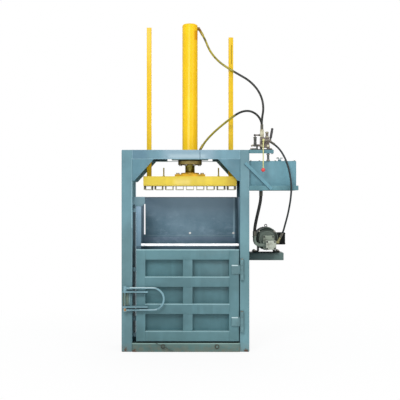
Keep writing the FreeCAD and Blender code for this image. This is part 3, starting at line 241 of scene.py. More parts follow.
def enamel(name, colour, *marks, rough=0.40, wear=1.0, dust=0.0, grime=(88, 92, 84), rust_at=(), cloud=1.9,
           deepest=0.87, rust=(100, 74, 56)):
    """Sprayed machine enamel: cloudy in colour, streaked, chipped to rust, dusty near the floor. Marks
    lay other colours over parts of it, painted highlights and painted shade among them, and take its gloss."""
    paint = Finish(name, Metallic=0.0, Coat_Roughness=0.28, Specular_IOR_Level=0.0)
    deep, base, pale = shades(colour, deepest, 1.0, 1.09)
    clouds = paint.noise(cloud, 4.0, 0.6)
    fine = paint.noise(260.0, 2.0, 0.6)
    streaks = paint.noise(9.0, 3.0, 0.5, stretch=(1, 1, 0.12))
    runs = paint.noise(21.0, 5.0, 0.7, stretch=(1, 1, 0.18))
    shade = paint.mix(paint.between(clouds, 0.34, 0.66), deep, base)
    shade = paint.mix(paint.between(streaks, 0.52, 0.80) * 0.50, shade, pale)
    shade = paint.mix(paint.between(fine, 0.45, 0.75) * 0.10, shade, deep)
    shade = paint.mix(paint.between(runs, 0.58, 0.74) * 0.16, shade, tint(*grime))
    low = paint.between(paint.along("Z") + paint.noise(14.0, 4.0) * 0.10, 0.02, 0.17, 1.0, 0.0)
    dusty = low * paint.between(paint.noise(30.0, 5.0, 0.65), 0.35, 0.62) * (0.55 * dust)
    shade = paint.mix(dusty, shade, tint(122, 108, 88))
    shade, unmarked = paint.marked(shade, marks)
    struck = paint.between(paint.noise(4.0, 2.0), 0.44, 0.58) * wear
    chips = paint.between(paint.noise(62.0, 6.0, 0.72), 0.700, 0.722) * struck
    blotch = paint.noise(48.0, 6.0, 0.72)
    for centre, inner, outer in rust_at:
        chips = chips + paint.near(centre, inner, outer) * paint.between(blotch, 0.44, 0.54)
    chips = paint.between(chips, 0.1, 0.9)
    shade = paint.mix(chips, shade, paint.mix(blotch, tint(78, 66, 58), tint(*rust)))
    dull = paint.between(clouds, 0.2, 0.8, rough - 0.06, rough + 0.08)
    paint.set(Base_Color=shade, Coat_Weight=unmarked * 0.3, Roughness=dull + chips * 0.3 + dusty * 0.3)
    paint.bump(fine * 0.6 + paint.noise(38.0, 2.0) * 0.8 - chips * 1.5, 0.16)
    return paint.material


def whole(name, shape):
    """Makes a mesh in the making one smooth piece."""
    for face in shape.faces:
        face.smooth = True
    mesh = bpy.data.meshes.new(name)
    shape.to_mesh(mesh)
    shape.free()
    return add(name, mesh)


def rounded(name, shape, edge, segments):
    """One piece, its sharp edges rounded as a grinder leaves them."""
    piece = whole(name, shape)
    rounding = piece.modifiers.new("edges", "BEVEL")
    rounding.width = edge
    rounding.segments = segments
    rounding.limit_method = "ANGLE"
    rounding.angle_limit = math.radians(35)
    rounding.harden_normals = True
    return piece


def stock(name, *bars, edge=0.003, segments=3):
    """Straight bars and plates, each given by its spans along X, Y and Z, with their edges rounded."""
    shape = bmesh.new()
    for x, y, z in bars:
        for corner in bmesh.ops.create_cube(shape, size=1)["verts"]:
            corner.co = Vector((x[corner.co.x > 0], y[corner.co.y > 0], z[corner.co.z > 0]))
    return rounded(name, shape, edge, segments)


def fit(piece, material, slot, *replaced, body="frame"):
    """Gives a finished piece its material and body, and hides the solids it stands for; slot is not used."""
    piece.data.materials.clear()
    piece.data.materials.append(material)
    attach(piece, body)
    if replaced:
        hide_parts(*replaced)
    return piece


def spans(node):
    """A solid's low and high faces along X, Y and Z."""
    low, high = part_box(node)
    return tuple((low[axis], high[axis]) for axis in range(3))


COLUMN_HIGHLIGHT = (172, 204, 214)
LATCH_SHADOW = (56, 66, 74)
FORE = (-0.30, -0.265)
EDGE = (-0.584, -0.570)
frame_enamel = enamel(
    "frame_enamel", (107, 144, 154),
    # Painted shade: the left column's inner face gets a bluer colour without gloss, for the gap's look.
    mark((118, 186, 206), 0.62, 0.002, X=(-0.5805, -0.56), Y=(-0.272, 0.30)),
    # Painted shadows on the column under and between the latch's bars.
    mark(LATCH_SHADOW, X=(-0.625, -0.57), Y=(-0.30, -0.27), Z=(0.605, 0.621)),
    mark(LATCH_SHADOW, X=(-0.630, -0.57), Y=(-0.30, -0.27), Z=(0.433, 0.449)),
    mark(LATCH_SHADOW, 0.6, X=(-0.665, -0.57), Y=(-0.30, -0.27), Z=(0.582, 0.592)),
    # Painted shade on the right column's inner face and the crosshead's right end beside it.
    mark((66, 96, 110), 1.0, 0.002, X=(0.40, 0.5005), Y=(-0.272, 0.30)),
    # Painted highlights down the left column's inner front edge and the right column's outer edge.
    mark(COLUMN_HIGHLIGHT, 0.85, 0.0025, X=EDGE, Y=FORE, Z=(1.24, 1.94)),
    mark(COLUMN_HIGHLIGHT, 0.40, 0.0025, X=EDGE, Y=FORE, Z=(0.70, 1.24)),
    mark(COLUMN_HIGHLIGHT, 0.75, X=(0.5890, 0.60), Y=FORE, Z=(1.60, 1.92)),
    mark((84, 114, 126), 0.25, 0.1, X=(-0.70, -0.59), Z=(1.40, 2.10)),
    mark((98, 122, 116), 0.35, 0.15, X=(-0.70, -0.58), Z=(-0.20, 1.20)),
    mark((120, 162, 162), 0.35, 0.15, X=(0.50, 0.62), Z=(-0.20, 1.25)),
    dust=1.0, rust_at=(((-0.66, -0.28, 0.02), 0.01, 0.06), ((0.56, -0.28, 0.01), 0.01, 0.04)))
for side in ("left", "right"):
    column = stock(f"{side}_box_column", spans(f"{side}_column"), edge=0.009, segments=4)
    fit(column, frame_enamel, "frame_paint", f"{side}_column")

# ---- Top beams and gussets ----
# Folded beams tie the columns front and rear, with a cut plate gusset in each corner. All seams are
# welded by hand before painting, so the bead shows as a rippled line. The beams carry painted light:
# paler in the middle, darker towards the left end, with a painted highlight along the front beam's face.


def dress(name, solid, material, slot, body="frame", edge=0.002, segments=2):
    """A copy of a solid that stands for it, with plain faces for triangles and its corners rounded."""
    shape = bmesh.new()
    shape.from_mesh(nodes[solid].data)
    bmesh.ops.remove_doubles(shape, verts=shape.verts, dist=0.00002)
    bmesh.ops.dissolve_limit(shape, angle_limit=math.radians(1), verts=shape.verts, edges=shape.edges)
    return fit(rounded(name, shape, edge, segments), material, slot, solid, body=body)


def frozen(draft):
    """The plain mesh that a draft's curve or modifier makes; the draft itself goes."""
    graph = bpy.context.evaluated_depsgraph_get()
    mesh = bpy.data.meshes.new_from_object(draft.evaluated_get(graph), depsgraph=graph)
    bpy.data.objects.remove(draft)
    return mesh


class Pattern:
    """A Geometry Nodes tree with named inputs, whose result is made one plain mesh."""

    KINDS = {float: "NodeSocketFloat", int: "NodeSocketInt", tuple: "NodeSocketVector"}

    def __init__(self, name, **inputs):
        self.tree = bpy.data.node_groups.new(name, "GeometryNodeTree")
        self.tree.interface.new_socket("Geometry", in_out="INPUT", socket_type="NodeSocketGeometry")
        self.names = {}
        for label, value in inputs.items():
            made = self.tree.interface.new_socket(label, in_out="INPUT", socket_type=self.KINDS[type(value)])
            made.default_value = value
            self.names[label] = made.identifier
        self.tree.interface.new_socket("Geometry", in_out="OUTPUT", socket_type="NodeSocketGeometry")
        self.given = self.tree.nodes.new("NodeGroupInput").outputs

    def node(self, kind, sockets=None, output=0, **settings):
        return add_node(self.tree, kind, sockets, output, **settings)

    def sum(self, operation, *terms):
        return self.node("ShaderNodeMath", dict(enumerate(terms)), operation=operation)

    def vector(self, sockets):
        return self.node("ShaderNodeCombineXYZ", sockets)

    def ring(self, axis, radius, ahead=0.0):
        """Count points in a ring from X towards the axis of a number, and the angle at each."""
        step = self.sum("DIVIDE", math.tau, self.given["Count"])
        angle = self.sum("MULTIPLY", self.sum("ADD", self.node("GeometryNodeInputIndex"), ahead), step)
        place = self.vector({0: self.sum("MULTIPLY", self.sum("COSINE", angle), radius),
                             axis: self.sum("MULTIPLY", self.sum("SINE", angle), radius)})
        return self.node("GeometryNodePoints", {"Count": self.given["Count"], "Position": place}), angle

    def prism(self, sides, radius, depth):
        return self.node("GeometryNodeMeshCylinder", {"Vertices": sides, "Radius": radius, "Depth": depth},
                         fill_type="NGON")

    def close(self, geometry):
        self.node("NodeGroupOutput", {0: self.node("GeometryNodeRealizeInstances", {0: geometry})})

    def copy(self, thing, points, turn=(0, 0, 0)):
        """Ends the tree with one copy of a thing at each point."""
        self.close(self.node("GeometryNodeInstanceOnPoints", {
            "Points": points, "Instance": thing, "Rotation": turn}))

    def grow(self, name, points, edges=(), **values):
        """Runs the tree on points and lines, and gives the result as a plain piece."""
        seed = bpy.data.meshes.new(f"{name}_lines")
        seed.from_pydata(points, edges, [])
        host = add(f"{name}_host", seed)
        run = host.modifiers.new("pattern", "NODES")
        run.node_group = self.tree
        for label, value in values.items():
            run[self.names[label]] = value
        mesh = frozen(host)
        mesh.name = name
        return add(name, mesh)


bead = Pattern("weld_bead", Radius=0.003, Pitch=0.006)
run = bead.node("GeometryNodeMeshToCurve", {0: bead.given["Geometry"]})
steps = bead.node("GeometryNodeResampleCurve", {"Curve": run, "Length": bead.given["Pitch"]}, mode="LENGTH")
swell = bead.node("FunctionNodeRandomValue", {2: 0.72, 3: 1.12, 8: 7}, 1, data_type="FLOAT")
uneven = bead.node("GeometryNodeSetCurveRadius", {"Curve": steps, "Radius": swell})
ring = bead.node("GeometryNodeCurvePrimitiveCircle", {"Resolution": 8, "Radius": bead.given["Radius"]},
                 mode="RADIUS")
tube = bead.node("GeometryNodeCurveToMesh", {"Curve": uneven, "Profile Curve": ring, "Fill Caps": True})
bead.close(bead.node("GeometryNodeSetShadeSmooth", {0: tube}))


def weld(name, material, slot, *lines, radius=0.0028, body="frame"):
    """One rippled weld bead along each line of points."""
    points, edges = [], []
    for line in lines:
        edges += [(len(points) + turn, len(points) + turn + 1) for turn in range(len(line) - 1)]
        points += line
    return fit(bead.grow(name, points, edges, Radius=radius), material, slot, body=body)


def seam(x, y, z):
    """The two ends of a straight line; the axis that it runs along is given as a pair."""
    return [tuple(place[end] if isinstance(place, tuple) else place for place in (x, y, z)) for end in (0, 1)]


FRONT, REAR = spans("front_top_beam")[1][0], spans("rear_top_beam")[1][1]
BEAM = spans("front_top_beam")[2]
INNER = (spans("left_column")[0][1], spans("right_column")[0][0])
# Painted light on the beams: paler middle, darker left end, highlight along the front beam's face.
beam_enamel = enamel("beam_enamel", (113, 149, 162), mark((98, 129, 145), 0.8, 0.04, X=(-0.60, -0.43)),
                     mark((139, 164, 177), 0.9, 0.06, X=(-0.27, 0.24)),
                     mark((188, 207, 213), 0.8, 0.03, X=(-0.21, 0.16), Y=(-0.34, -0.22), Z=(1.950, 1.966)),
                     wear=0.6, cloud=1.2)
# The beam welds are painted pale, as painted highlights on their beads.
weld_highlight_enamel = enamel("weld_highlight_enamel", (146, 182, 194), wear=0.6, cloud=8.0)
joint_enamel = enamel("joint_enamel", (86, 112, 130), wear=0.6, cloud=8.0)
# The rear gussets are painted paler: painted light.
gusset_enamel = enamel("gusset_enamel", (98, 135, 148), mark((136, 168, 180), 0.8, 0.01, Y=(0.10, 0.30)),
                       wear=0.8)
for side in ("front", "rear"):
    dress(f"{side}_beam", f"{side}_top_beam", beam_enamel, "frame_paint", edge=0.006, segments=3)
dress("corner_gusset_plates", "corner_gussets", gusset_enamel, "frame_paint", edge=0.0025)
weld("beam_welds", weld_highlight_enamel, "frame_paint", *[seam(x, y, BEAM) for y in (FRONT, REAR) for x in INNER],
     *[seam(INNER, y, BEAM[0]) for y in (FRONT + 0.001, REAR - 0.001)])
weld("beam_joint_welds", joint_enamel, "frame_paint", *[seam(0.10, y, BEAM) for y in (FRONT, REAR)])
weld("gusset_welds", gusset_enamel, "frame_paint",
     *[seam(x, y, (1.714, 1.929)) for y in (FRONT, REAR) for x in INNER], radius=0.0024)

# ---- Crosshead ----
# A thick deck with a bored pad across the beams takes the ram's thrust; the guide posts slide in two
# square holes in it. Flame-cut plate, ground at the edges, painted with the frame.
dress("ram_crosshead", "crosshead", frame_enamel, "frame_paint", edge=0.0025)
deck_ends = (INNER[0] + 0.001, INNER[1] - 0.001)
weld("crosshead_welds", frame_enamel, "frame_paint",
     *[seam(deck_ends, y, 1.961) for y in (-0.272, 0.272)], radius=0.003)

# ---- Sills and floor ----
# Channel sills close the frame at the floor, front and rear, with the worn chamber floor sheet on three
# rails between them. Two studs through the front sill carry nuts and a loose bale hook of bent wire.
floor_enamel = enamel("floor_enamel", (112, 126, 128), rough=0.5, dust=1.0)
# Painted highlight along the sills' top edge; on the front sill, painted shadow of the gap under the door.
sill_enamel = enamel("sill_enamel", (92, 122, 119), mark((154, 182, 174), Z=(0.080, 0.088)),
                     mark((12, 26, 28), 0.95, 0.001, Y=(-0.30, -0.27), Z=(0.0890, 0.10)),
                     wear=1.2, dust=1.1, grime=(84, 84, 66),
                     rust_at=(((0.27, -0.28, 0.045), 0.006, 0.028), ((-0.56, -0.28, 0.01), 0.01, 0.04)))
for side in ("front", "rear"):
    dress(f"{side}_sill_channel", f"{side}_sill", sill_enamel, "frame_paint", edge=0.004, segments=3)
dress("chamber_floor", "floor_deck", floor_enamel, "chamber_paint")

bolt = Pattern("hex_bolts", Across=0.019, Height=0.008, Washer=0.014, Thickness=0.002, Out=(0.0, 0.0, 1.0))
across, tall, thick = [bolt.given[label] for label in ("Across", "Height", "Thickness")]


def slice_of_bolt(sides, radius, depth, middle):
    """One prism of a bolt, its middle lifted along the bolt."""
    return bolt.node("GeometryNodeTransform", {
        "Geometry": bolt.prism(sides, radius, depth), "Translation": bolt.vector({2: middle})})


middle = bolt.sum("MULTIPLY_ADD", tall, 0.5, thick)
head = slice_of_bolt(6, bolt.sum("DIVIDE", across, math.sqrt(3)), tall, middle)
crown = slice_of_bolt(18, bolt.sum("MULTIPLY", across, 0.46), bolt.sum("MULTIPLY", tall, 1.12), middle)
washer = slice_of_bolt(24, bolt.given["Washer"], thick, bolt.sum("MULTIPLY", thick, 0.5))
bolt.copy(bolt.node("GeometryNodeJoinGeometry", {0: [head, crown, washer]}), bolt.given["Geometry"],
          bolt.node("FunctionNodeAlignRotationToVector", {"Vector": bolt.given["Out"]}, axis="Z"))


def bolts(name, material, slot, places, out, across, height, washer=0.0, thickness=0.001, body="frame"):
    """A hexagon head on its washer at each place, pointing out."""
    piece = bolt.grow(name, places, Across=across, Height=height, Washer=washer or across * 0.72,
                      Thickness=thickness, Out=out)
    return fit(piece, material, slot, body=body)


def steel(name, colour, *marks, rough=0.34, metal=0.9, grime=(70, 62, 52), dirty=0.5, brush=(1, 1, 1)):
    """Bare steel: fine tool marks, a brown oily film in patches, duller where it is dirty."""
    bare = Finish(name)
    base, deep = shades(colour, 1.0, 0.8)
    tooled = bare.noise(420.0, 2.0, 0.6, stretch=brush)
    film = bare.between(bare.noise(17.0, 5.0, 0.65), 0.48, 0.72) * dirty
    shade = bare.mix(bare.between(tooled, 0.3, 0.7) * 0.3, base, deep)
    shade = bare.marked(bare.mix(film, shade, tint(*grime)), marks)[0]
    bare.set(Base_Color=shade, Metallic=bare.between(film, 0, 1, metal, 0.25),
             Roughness=bare.between(tooled, 0.3, 0.7, rough - 0.05, rough + 0.07) + film * 0.3)
    bare.bump(tooled, 0.12, 0.0006)
    return bare.material


dull_steel = steel("dull_bolt_steel", (138, 134, 124))
rusty_steel = steel("rusty_stud_steel", (74, 78, 70), rough=0.5, metal=0.5, grime=(66, 58, 44), dirty=0.7)
AHEAD = (0, -1, 0)
bolts("sill_stud_nuts", rusty_steel, "frame_paint", [(x, -0.280, 0.055) for x in (-0.27, 0.27)], AHEAD, 0.036,
      0.011, washer=0.024, thickness=0.002)


def strand(name, diameter, roundness, steps, route):
    """Round bar or hose along a smooth line led by its route's points, in metres."""
    line = bpy.data.curves.new(name, "CURVE")
    line.dimensions = "3D"
    line.bevel_depth = diameter / 2
    line.bevel_resolution = roundness
    line.resolution_u = steps
    line.use_fill_caps = True
    spline = line.splines.new("NURBS")
    spline.points.add(len(route) - 1)
    for knot, place in zip(spline.points, route):
        knot.co = (*place, 1)
    spline.order_u = 3
    spline.use_endpoint_u = True
    return add(name, line)


def wire(name, diameter, *route):
    """Bent wire as one closed tube."""
    shape = bmesh.new()
    shape.from_mesh(frozen(strand(f"{name}_line", diameter, 4, 12, route)))
    bmesh.ops.remove_doubles(shape, verts=shape.verts, dist=0.00001)
    bmesh.ops.recalc_face_normals(shape, faces=shape.faces)
    return whole(name, shape)


old_wire = steel("old_tying_wire", (84, 92, 86), rough=0.45, metal=0.6, grime=(44, 48, 42), dirty=0.6)
hook = wire(
    "bale_hook_wire", 0.0056, (-0.345, -0.286, 0.092), (-0.325, -0.290, 0.084), (-0.300, -0.296, 0.070),
    (-0.275, -0.304, 0.056), (-0.252, -0.306, 0.042), (-0.262, -0.300, 0.034), (-0.278, -0.306, 0.046),
    (-0.258, -0.309, 0.062), (-0.240, -0.303, 0.050), (-0.225, -0.297, 0.036), (-0.195, -0.289, 0.020),
    (-0.165, -0.286, 0.010))
fit(hook, old_wire, "bare_steel")
weld("sill_welds", sill_enamel, "frame_paint", *[seam(x, FRONT, (0.003, 0.092)) for x in INNER],
     radius=0.0032)

# ---- Bale chamber ----
# Sheet walls on angle ribs. Waste has scoured their paint to a duller, darker blue with pale scuffs and
# bare streaks. The left wall hangs from a head plate with an arched notch and from short lugs.
chamber = Finish("chamber_enamel", Metallic=0.0, Coat_Weight=0.25, Coat_Roughness=0.32,
                 Specular_IOR_Level=0.0)
REAR_WALL = (0.19, 0.23)
level = chamber.along("Z")
cloudy = chamber.noise(3.2, 5.0, 0.65)
scour = chamber.between(chamber.noise(7.0, 6.0, 0.72, stretch=(1, 1, 2.2), turn=(0, 0.5, 0)), 0.50, 0.74)
scratch = chamber.between(chamber.noise(34.0, 3.0, 0.6, stretch=(6, 6, 0.35), turn=(0, 0.35, 0)), 0.66, 0.72)
arcs = chamber.between(chamber.noise(26.0, 3.0, 0.6, stretch=(0.3, 6, 7), turn=(0, -0.3, 0)), 0.68, 0.74)
skin = chamber.mix(chamber.between(cloudy, 0.34, 0.66), tint(94, 123, 139), tint(114, 142, 158))
for cover, colour in (
        (chamber.between(level, 1.28, 1.53, 0.0, 0.85), (146, 172, 192)),
        (chamber.between(level, 1.06, 1.24, 0.35, 0.0), (64, 88, 102)),
        (scour * 0.5, (142, 166, 184)),
        # A painted highlight on a fold across the rear wall.
        (chamber.within({"Y": REAR_WALL, "Z": (1.1435, 1.1465)}, 0.001) * 0.55, (146, 172, 180)),
        (chamber.within({"Y": REAR_WALL, "Z": (1.088, 1.128)}, 0.008) * 0.35, (112, 124, 148)),
        # Painted shade over the walls below the feed bar.
        (chamber.between(level, 1.050, 1.062, 0.55, 0.0), (36, 58, 68)),
        # A painted highlight down the rear wall's right edge, and painted shade on the right wall's inner
        # face.
        (chamber.within({"X": (0.457, 0.474), "Y": REAR_WALL, "Z": (1.12, 1.56)}) * 0.5, (164, 194, 208)),
        (chamber.within({"X": (0.478, 0.498), "Y": (-0.17, 0.23)}) * 0.6, (30, 56, 66)),
        (chamber.within({"Y": REAR_WALL, "Z": (1.545, 1.56)}) * 0.6, (40, 54, 60)),
        (chamber.between(scratch + arcs, 0, 1) * 0.25, (164, 178, 188)),
        (chamber.between(level + cloudy * 0.2, 0.2, 0.5, 0.4, 0.0), (96, 92, 84))):
    skin = chamber.mix(cover, skin, tint(*colour))
chamber.set(Base_Color=skin, Roughness=chamber.between(cloudy, 0.2, 0.8, 0.36, 0.50) + scour * 0.1)
chamber.bump(chamber.noise(3.0, 2.0) * 2.0 + chamber.noise(190.0, 2.0) * 0.12 + scratch * 0.2, 0.35, 0.004)
for name, solid in (("left_chamber_wall", "left_wall"), ("right_chamber_wall", "right_wall"),
                    ("upper_rear_wall", "rear_panel"), ("lower_rear_wall", "rear_lower_wall")):
    dress(name, solid, chamber.material, "chamber_paint", edge=0.0015)
tie_enamel = enamel("tie_enamel", (104, 132, 142), wear=1.6, grime=(70, 74, 70))
dress("wall_hangers", "wall_ties", tie_enamel, "frame_paint", edge=0.0018)
rivet_steel = steel("rivet_steel", (232, 234, 232), rough=0.4, metal=0.2, dirty=0.1)
bolts("rear_wall_rivets", rivet_steel, "chamber_paint", [(x, 0.2065, 1.17) for x in (0.0, 0.46)], AHEAD,
      0.016, 0.003)

# ---- Feed bar ----
# A bright bar across the feed opening, just above the door. It is drawn flat steel, polished white by
# the waste that slides over it.
bright = Finish("bright_bar_steel", Metallic=0.25)
rub = bright.noise(90.0, 3.0, 0.6, stretch=(0.15, 1, 1))
bright.set(Base_Color=bright.mix(bright.between(rub, 0.35, 0.8), tint(252, 252, 252), tint(206, 214, 218)),
           Roughness=bright.between(rub, 0.3, 0.7, 0.26, 0.4))
bright.bump(rub, 0.1, 0.0006)
fit(stock("feed_edge_bar", spans("feed_bar")), bright.material, "bright_bar", "feed_bar")

# ---- Door ----
# A sheet stiffened by pressed channels that leave six recessed panels. The channels are welded where
# they cross; painted highlights run along the door's top edge and the ledges under the panels.
RAILS = ((0.107, 0.208), (0.379, 0.480), (0.651, 0.752), (0.923, 1.024))
RECESSES = [(under[1], over[0]) for under, over in zip(RAILS, RAILS[1:])]
LEDGES = [foot for foot, top in RECESSES]
PANELS = ((-0.447, -0.071), (0.025, 0.391))
OUTER = (PANELS[0][0], PANELS[1][1])
SHEET = -0.2165
LEDGE_HIGHLIGHT = (172, 208, 213)
# Painted highlights along the door's top edge and the ledges under the panels.
door_enamel = enamel("door_enamel", (98, 135, 142), mark(LEDGE_HIGHLIGHT, 0.9, Z=(1.018, 1.026)),
                     *[mark(LEDGE_HIGHLIGHT, X=(-0.45, 0.395), Z=(z - 0.006, z + 0.001)) for z in LEDGES],
                     mark((84, 112, 112), 0.3, 0.04, Z=(0.0, 0.22)),
                     # Painted shadows on the latch side under and between the latch's bars.
                     mark(LATCH_SHADOW, X=(-0.55, -0.52), Z=(0.605, 0.621)),
                     mark(LATCH_SHADOW, X=(-0.55, -0.42), Z=(0.433, 0.449)),
                     mark(LATCH_SHADOW, 0.6, X=(-0.55, -0.42), Z=(0.582, 0.592)), dust=0.7)
skin_enamel = enamel("door_panel_enamel", (87, 125, 132), wear=0.8, dust=0.5, grime=(70, 84, 84))
dress("door_sheet", "door_skin", skin_enamel, "door_paint", "door")
for name, solid in (("latch_side_channel", "door_latch_stile"), ("hinge_side_channel", "door_hinge_stile"),
                    ("cross_channels", "door_rails"), ("middle_channels", "door_mullions")):
    dress(name, solid, door_enamel, "door_paint", "door", edge=0.0035, segments=3)
weld("door_stile_welds", door_enamel, "door_paint",
     *[seam(x, FRONT, (foot + 0.002, top - 0.002)) for foot, top in RAILS for x in OUTER],
     radius=0.0022, body="door")
weld("door_rail_welds", door_enamel, "door_paint", *[seam(OUTER, FRONT + 0.001, z) for z in LEDGES],
     *[seam((PANELS[0][1], PANELS[1][0]), FRONT, foot) for foot, top in RAILS[1:]], radius=0.003, body="door")
weld("door_panel_welds", skin_enamel, "door_paint",
     *[seam(panel, SHEET, z) for panel in PANELS for z in LEDGES],
     *[seam(x, SHEET, recess) for recess in RECESSES for panel in PANELS for x in panel],
     radius=0.004, body="door")

# ---- Hinges ----
# Turned knuckles on heavy pads: two on the column, and a long one on the door's strap between them,
# round a greased pin with a domed head.
LEVELS = (0.304, 0.825)
hinge_enamel = enamel(
    "hinge_enamel", (108, 142, 148),
    # Painted highlights along the top edges of the straps.
    *[mark((214, 232, 234), X=(0.41, 0.48), Z=(z + 0.037, z + 0.046)) for z in LEVELS],
    wear=2.0, dust=0.2, grime=(60, 58, 48), cloud=9.0)
dress("column_knuckles", "column_hinges", hinge_enamel, "door_paint", edge=0.0015)
dress("door_knuckles", "door_hinges", hinge_enamel, "door_paint", "door", edge=0.0018)
dress("greased_hinge_pins", "hinge_pins", dull_steel, "bare_steel", edge=0.001)
weld("hinge_strap_welds", hinge_enamel, "door_paint",
     *[[(0.5, -0.2815, z - 0.043), (0.4185, -0.2815, z - 0.043), (0.4185, -0.2815, z + 0.043),
        (0.5, -0.2815, z + 0.043)] for z in LEVELS], radius=0.0034, body="door")

# ---- Latch ----
# A U of round bar swings on a long pin between two fork plates and draws the door shut over the bar of
# the keeper on the column. Its left end is knocked down to rusty steel.
ARMS = (-0.60, -0.33)
latch_enamel = enamel(
    "latch_enamel", (124, 160, 170), mark((100, 120, 112), 0.8, 0.004, X=(-0.68, -0.64), Z=(0.470, 0.586)),
    # Painted highlights on the tops of the handle's bars, and painted shade under them.
    mark((196, 216, 220), 0.75, X=ARMS, Z=(0.645, 0.660)),
    mark((176, 202, 208), 0.5, X=(-0.50, -0.33), Z=(0.426, 0.440)),
    mark((70, 94, 104), 0.6, X=ARMS, Z=(0.630, 0.638)),
    mark((60, 84, 92), 0.6, X=ARMS, Z=(0.410, 0.418)),
    wear=1.6, cloud=6.0, rust=(196, 148, 92),
    rust_at=(((-0.662, -0.33, 0.474), 0.008, 0.022), ((-0.648, -0.335, 0.432), 0.010, 0.026)))
# The keeper's enamel, with a painted highlight down its right side.
keeper_enamel = enamel("keeper_enamel", (98, 116, 106), mark((150, 184, 190), 0.7, X=(-0.612, -0.58)),
                       wear=2.4, grime=(100, 88, 64), cloud=12.0)
dress("fork_plates", "latch_fork", latch_enamel, "door_paint", "door")
dress("u_handle", "latch_handle", latch_enamel, "door_paint", "latch", edge=0.0008)
dress("column_keeper", "latch_keeper", keeper_enamel, "door_paint", edge=0.0015)

# ---- Press plate ----
# A welded yellow box with nine channels under it, whose gaps take the tying straps, and two square
# tubes that guide it through the crosshead. The straps and waste have worn the channels' ends.


def circle(radius, count, ahead=0.0):
    """Points round a circle as pairs, the first a share of a step past the first axis."""
    turns = [math.tau * (turn + ahead) / count for turn in range(count)]
    return [(radius * math.cos(turn), radius * math.sin(turn)) for turn in turns]


def hoop(radius, height):
    """A closed line round the ram's axis."""
    line = [(x, y, height) for x, y in circle(radius, 48)]
    return [*line, line[0]]


UP = (0, 0, 1)
FORE_FACE = (-0.40, -0.20)
SQUARE = ((-1, -1), (1, -1), (1, 1), (-1, 1), (-1, -1))
# Painted light: the tubes' lower part, shaded under the crosshead, is painted a brighter orange-yellow.
tube_yellow = enamel("guide_tube_enamel", (224, 185, 34), mark((255, 206, 38), 0.9, 0.01, Z=(1.60, 1.925)),
                     mark((112, 88, 30), 0.75, 0.002, X=(0.423, 0.431), Z=(2.92, 3.12)),
                     rough=0.36, wear=0.25, grime=(216, 160, 10), cloud=2.4, deepest=0.95)
plate_yellow = enamel("plate_enamel", (217, 193, 74),
                      # A painted highlight across the plate's front, and painted shadow at its right end.
                      mark((248, 234, 170), 0.55, 0.03, X=(-0.16, 0.0), Y=FORE_FACE, Z=(1.670, 1.730)),
                      mark((196, 150, 62), 0.45, 0.03, X=(0.37, 0.46), Y=FORE_FACE),
                      rough=0.42, wear=0.6, grime=(190, 140, 30), cloud=3.5, deepest=0.93)
channel_enamel = enamel("channel_enamel", (188, 182, 152), rough=0.45, wear=1.6, grime=(96, 84, 56),
                        cloud=7.0)
seat_enamel = enamel("seat_enamel", (232, 180, 44), wear=2.0, grime=(120, 80, 16), cloud=14.0, deepest=0.8)
dress("press_plate_box", "platen_shell", plate_yellow, "press_paint", "press", edge=0.003)
dress("press_plate_face", "platen_face", plate_yellow, "press_paint", "press")
for side in ("left", "middle", "right"):
    dress(f"{side}_strap_channels", f"strap_channels_{side}", channel_enamel, "press_paint", "press",
          edge=0.001)
for side in ("left", "right"):
    dress(f"{side}_guide_tube", f"guide_post_{side}", tube_yellow, "press_paint", "press", edge=0.003,
          segments=3)
weld("guide_tube_welds", plate_yellow, "press_paint",
     *[[(x + across * 0.024, deep * 0.024, 1.7605) for across, deep in SQUARE] for x in (-0.422, 0.422)],
     hoop(0.0935, 1.782), radius=0.003, body="press")
bolts("stud_nuts", rusty_steel, "press_paint", [(x, 0, 1.760) for x in (-0.271, 0.295)], UP, 0.022, 0.009,
      body="press")
dress("rod_seat_plate", "rod_seat", seat_enamel, "press_paint", "press", edge=0.0015)
bolts("rod_seat_bolts", dull_steel, "press_paint",
      [(x, y, 1.7825) for x in (-0.124, 0.124) for y in (-0.124, 0.124)], UP, 0.029, 0.0125, washer=0.017,
      body="press")

# ---- Ram ----
# A double-acting cylinder stands on the crosshead: a honed tube painted yellow, a flanged gland bolted
# from below, and a ground chrome rod with the gland's oil on it. The tube and the gland carry painted
# shade, and the rod's colour is a painted reflection of the yellow paint.
press_yellow = enamel("press_enamel", (242, 198, 30),
                      # Painted shade down the tube's right side, deeper beside the elbows.
                      mark((236, 176, 20), 0.35, 0.02, X=(0.030, 0.09), Z=(1.99, 3.40)),
                      mark((196, 112, 14), 0.65, 0.012, X=(0.048, 0.09), Z=(3.165, 3.262)),
                      rough=0.36, wear=0.25, grime=(226, 170, 10), cloud=2.4, deepest=0.95)
# The gland is painted as the press yellow in shade, with painted shade darker at its top, lower edge and
# sides.
shaded_gland_enamel = enamel("shaded_gland_enamel", (192, 168, 104), mark((26, 28, 24), 0.9, Z=(1.919, 1.96)),
                      mark((44, 40, 30), 0.75, 0.002, Z=(1.860, 1.887)),
                      *[mark((54, 50, 38), 0.6, 0.012, X=side) for side in ((-0.13, -0.092), (0.092, 0.13))],
                      wear=1.5, grime=(50, 48, 34), cloud=12.0)
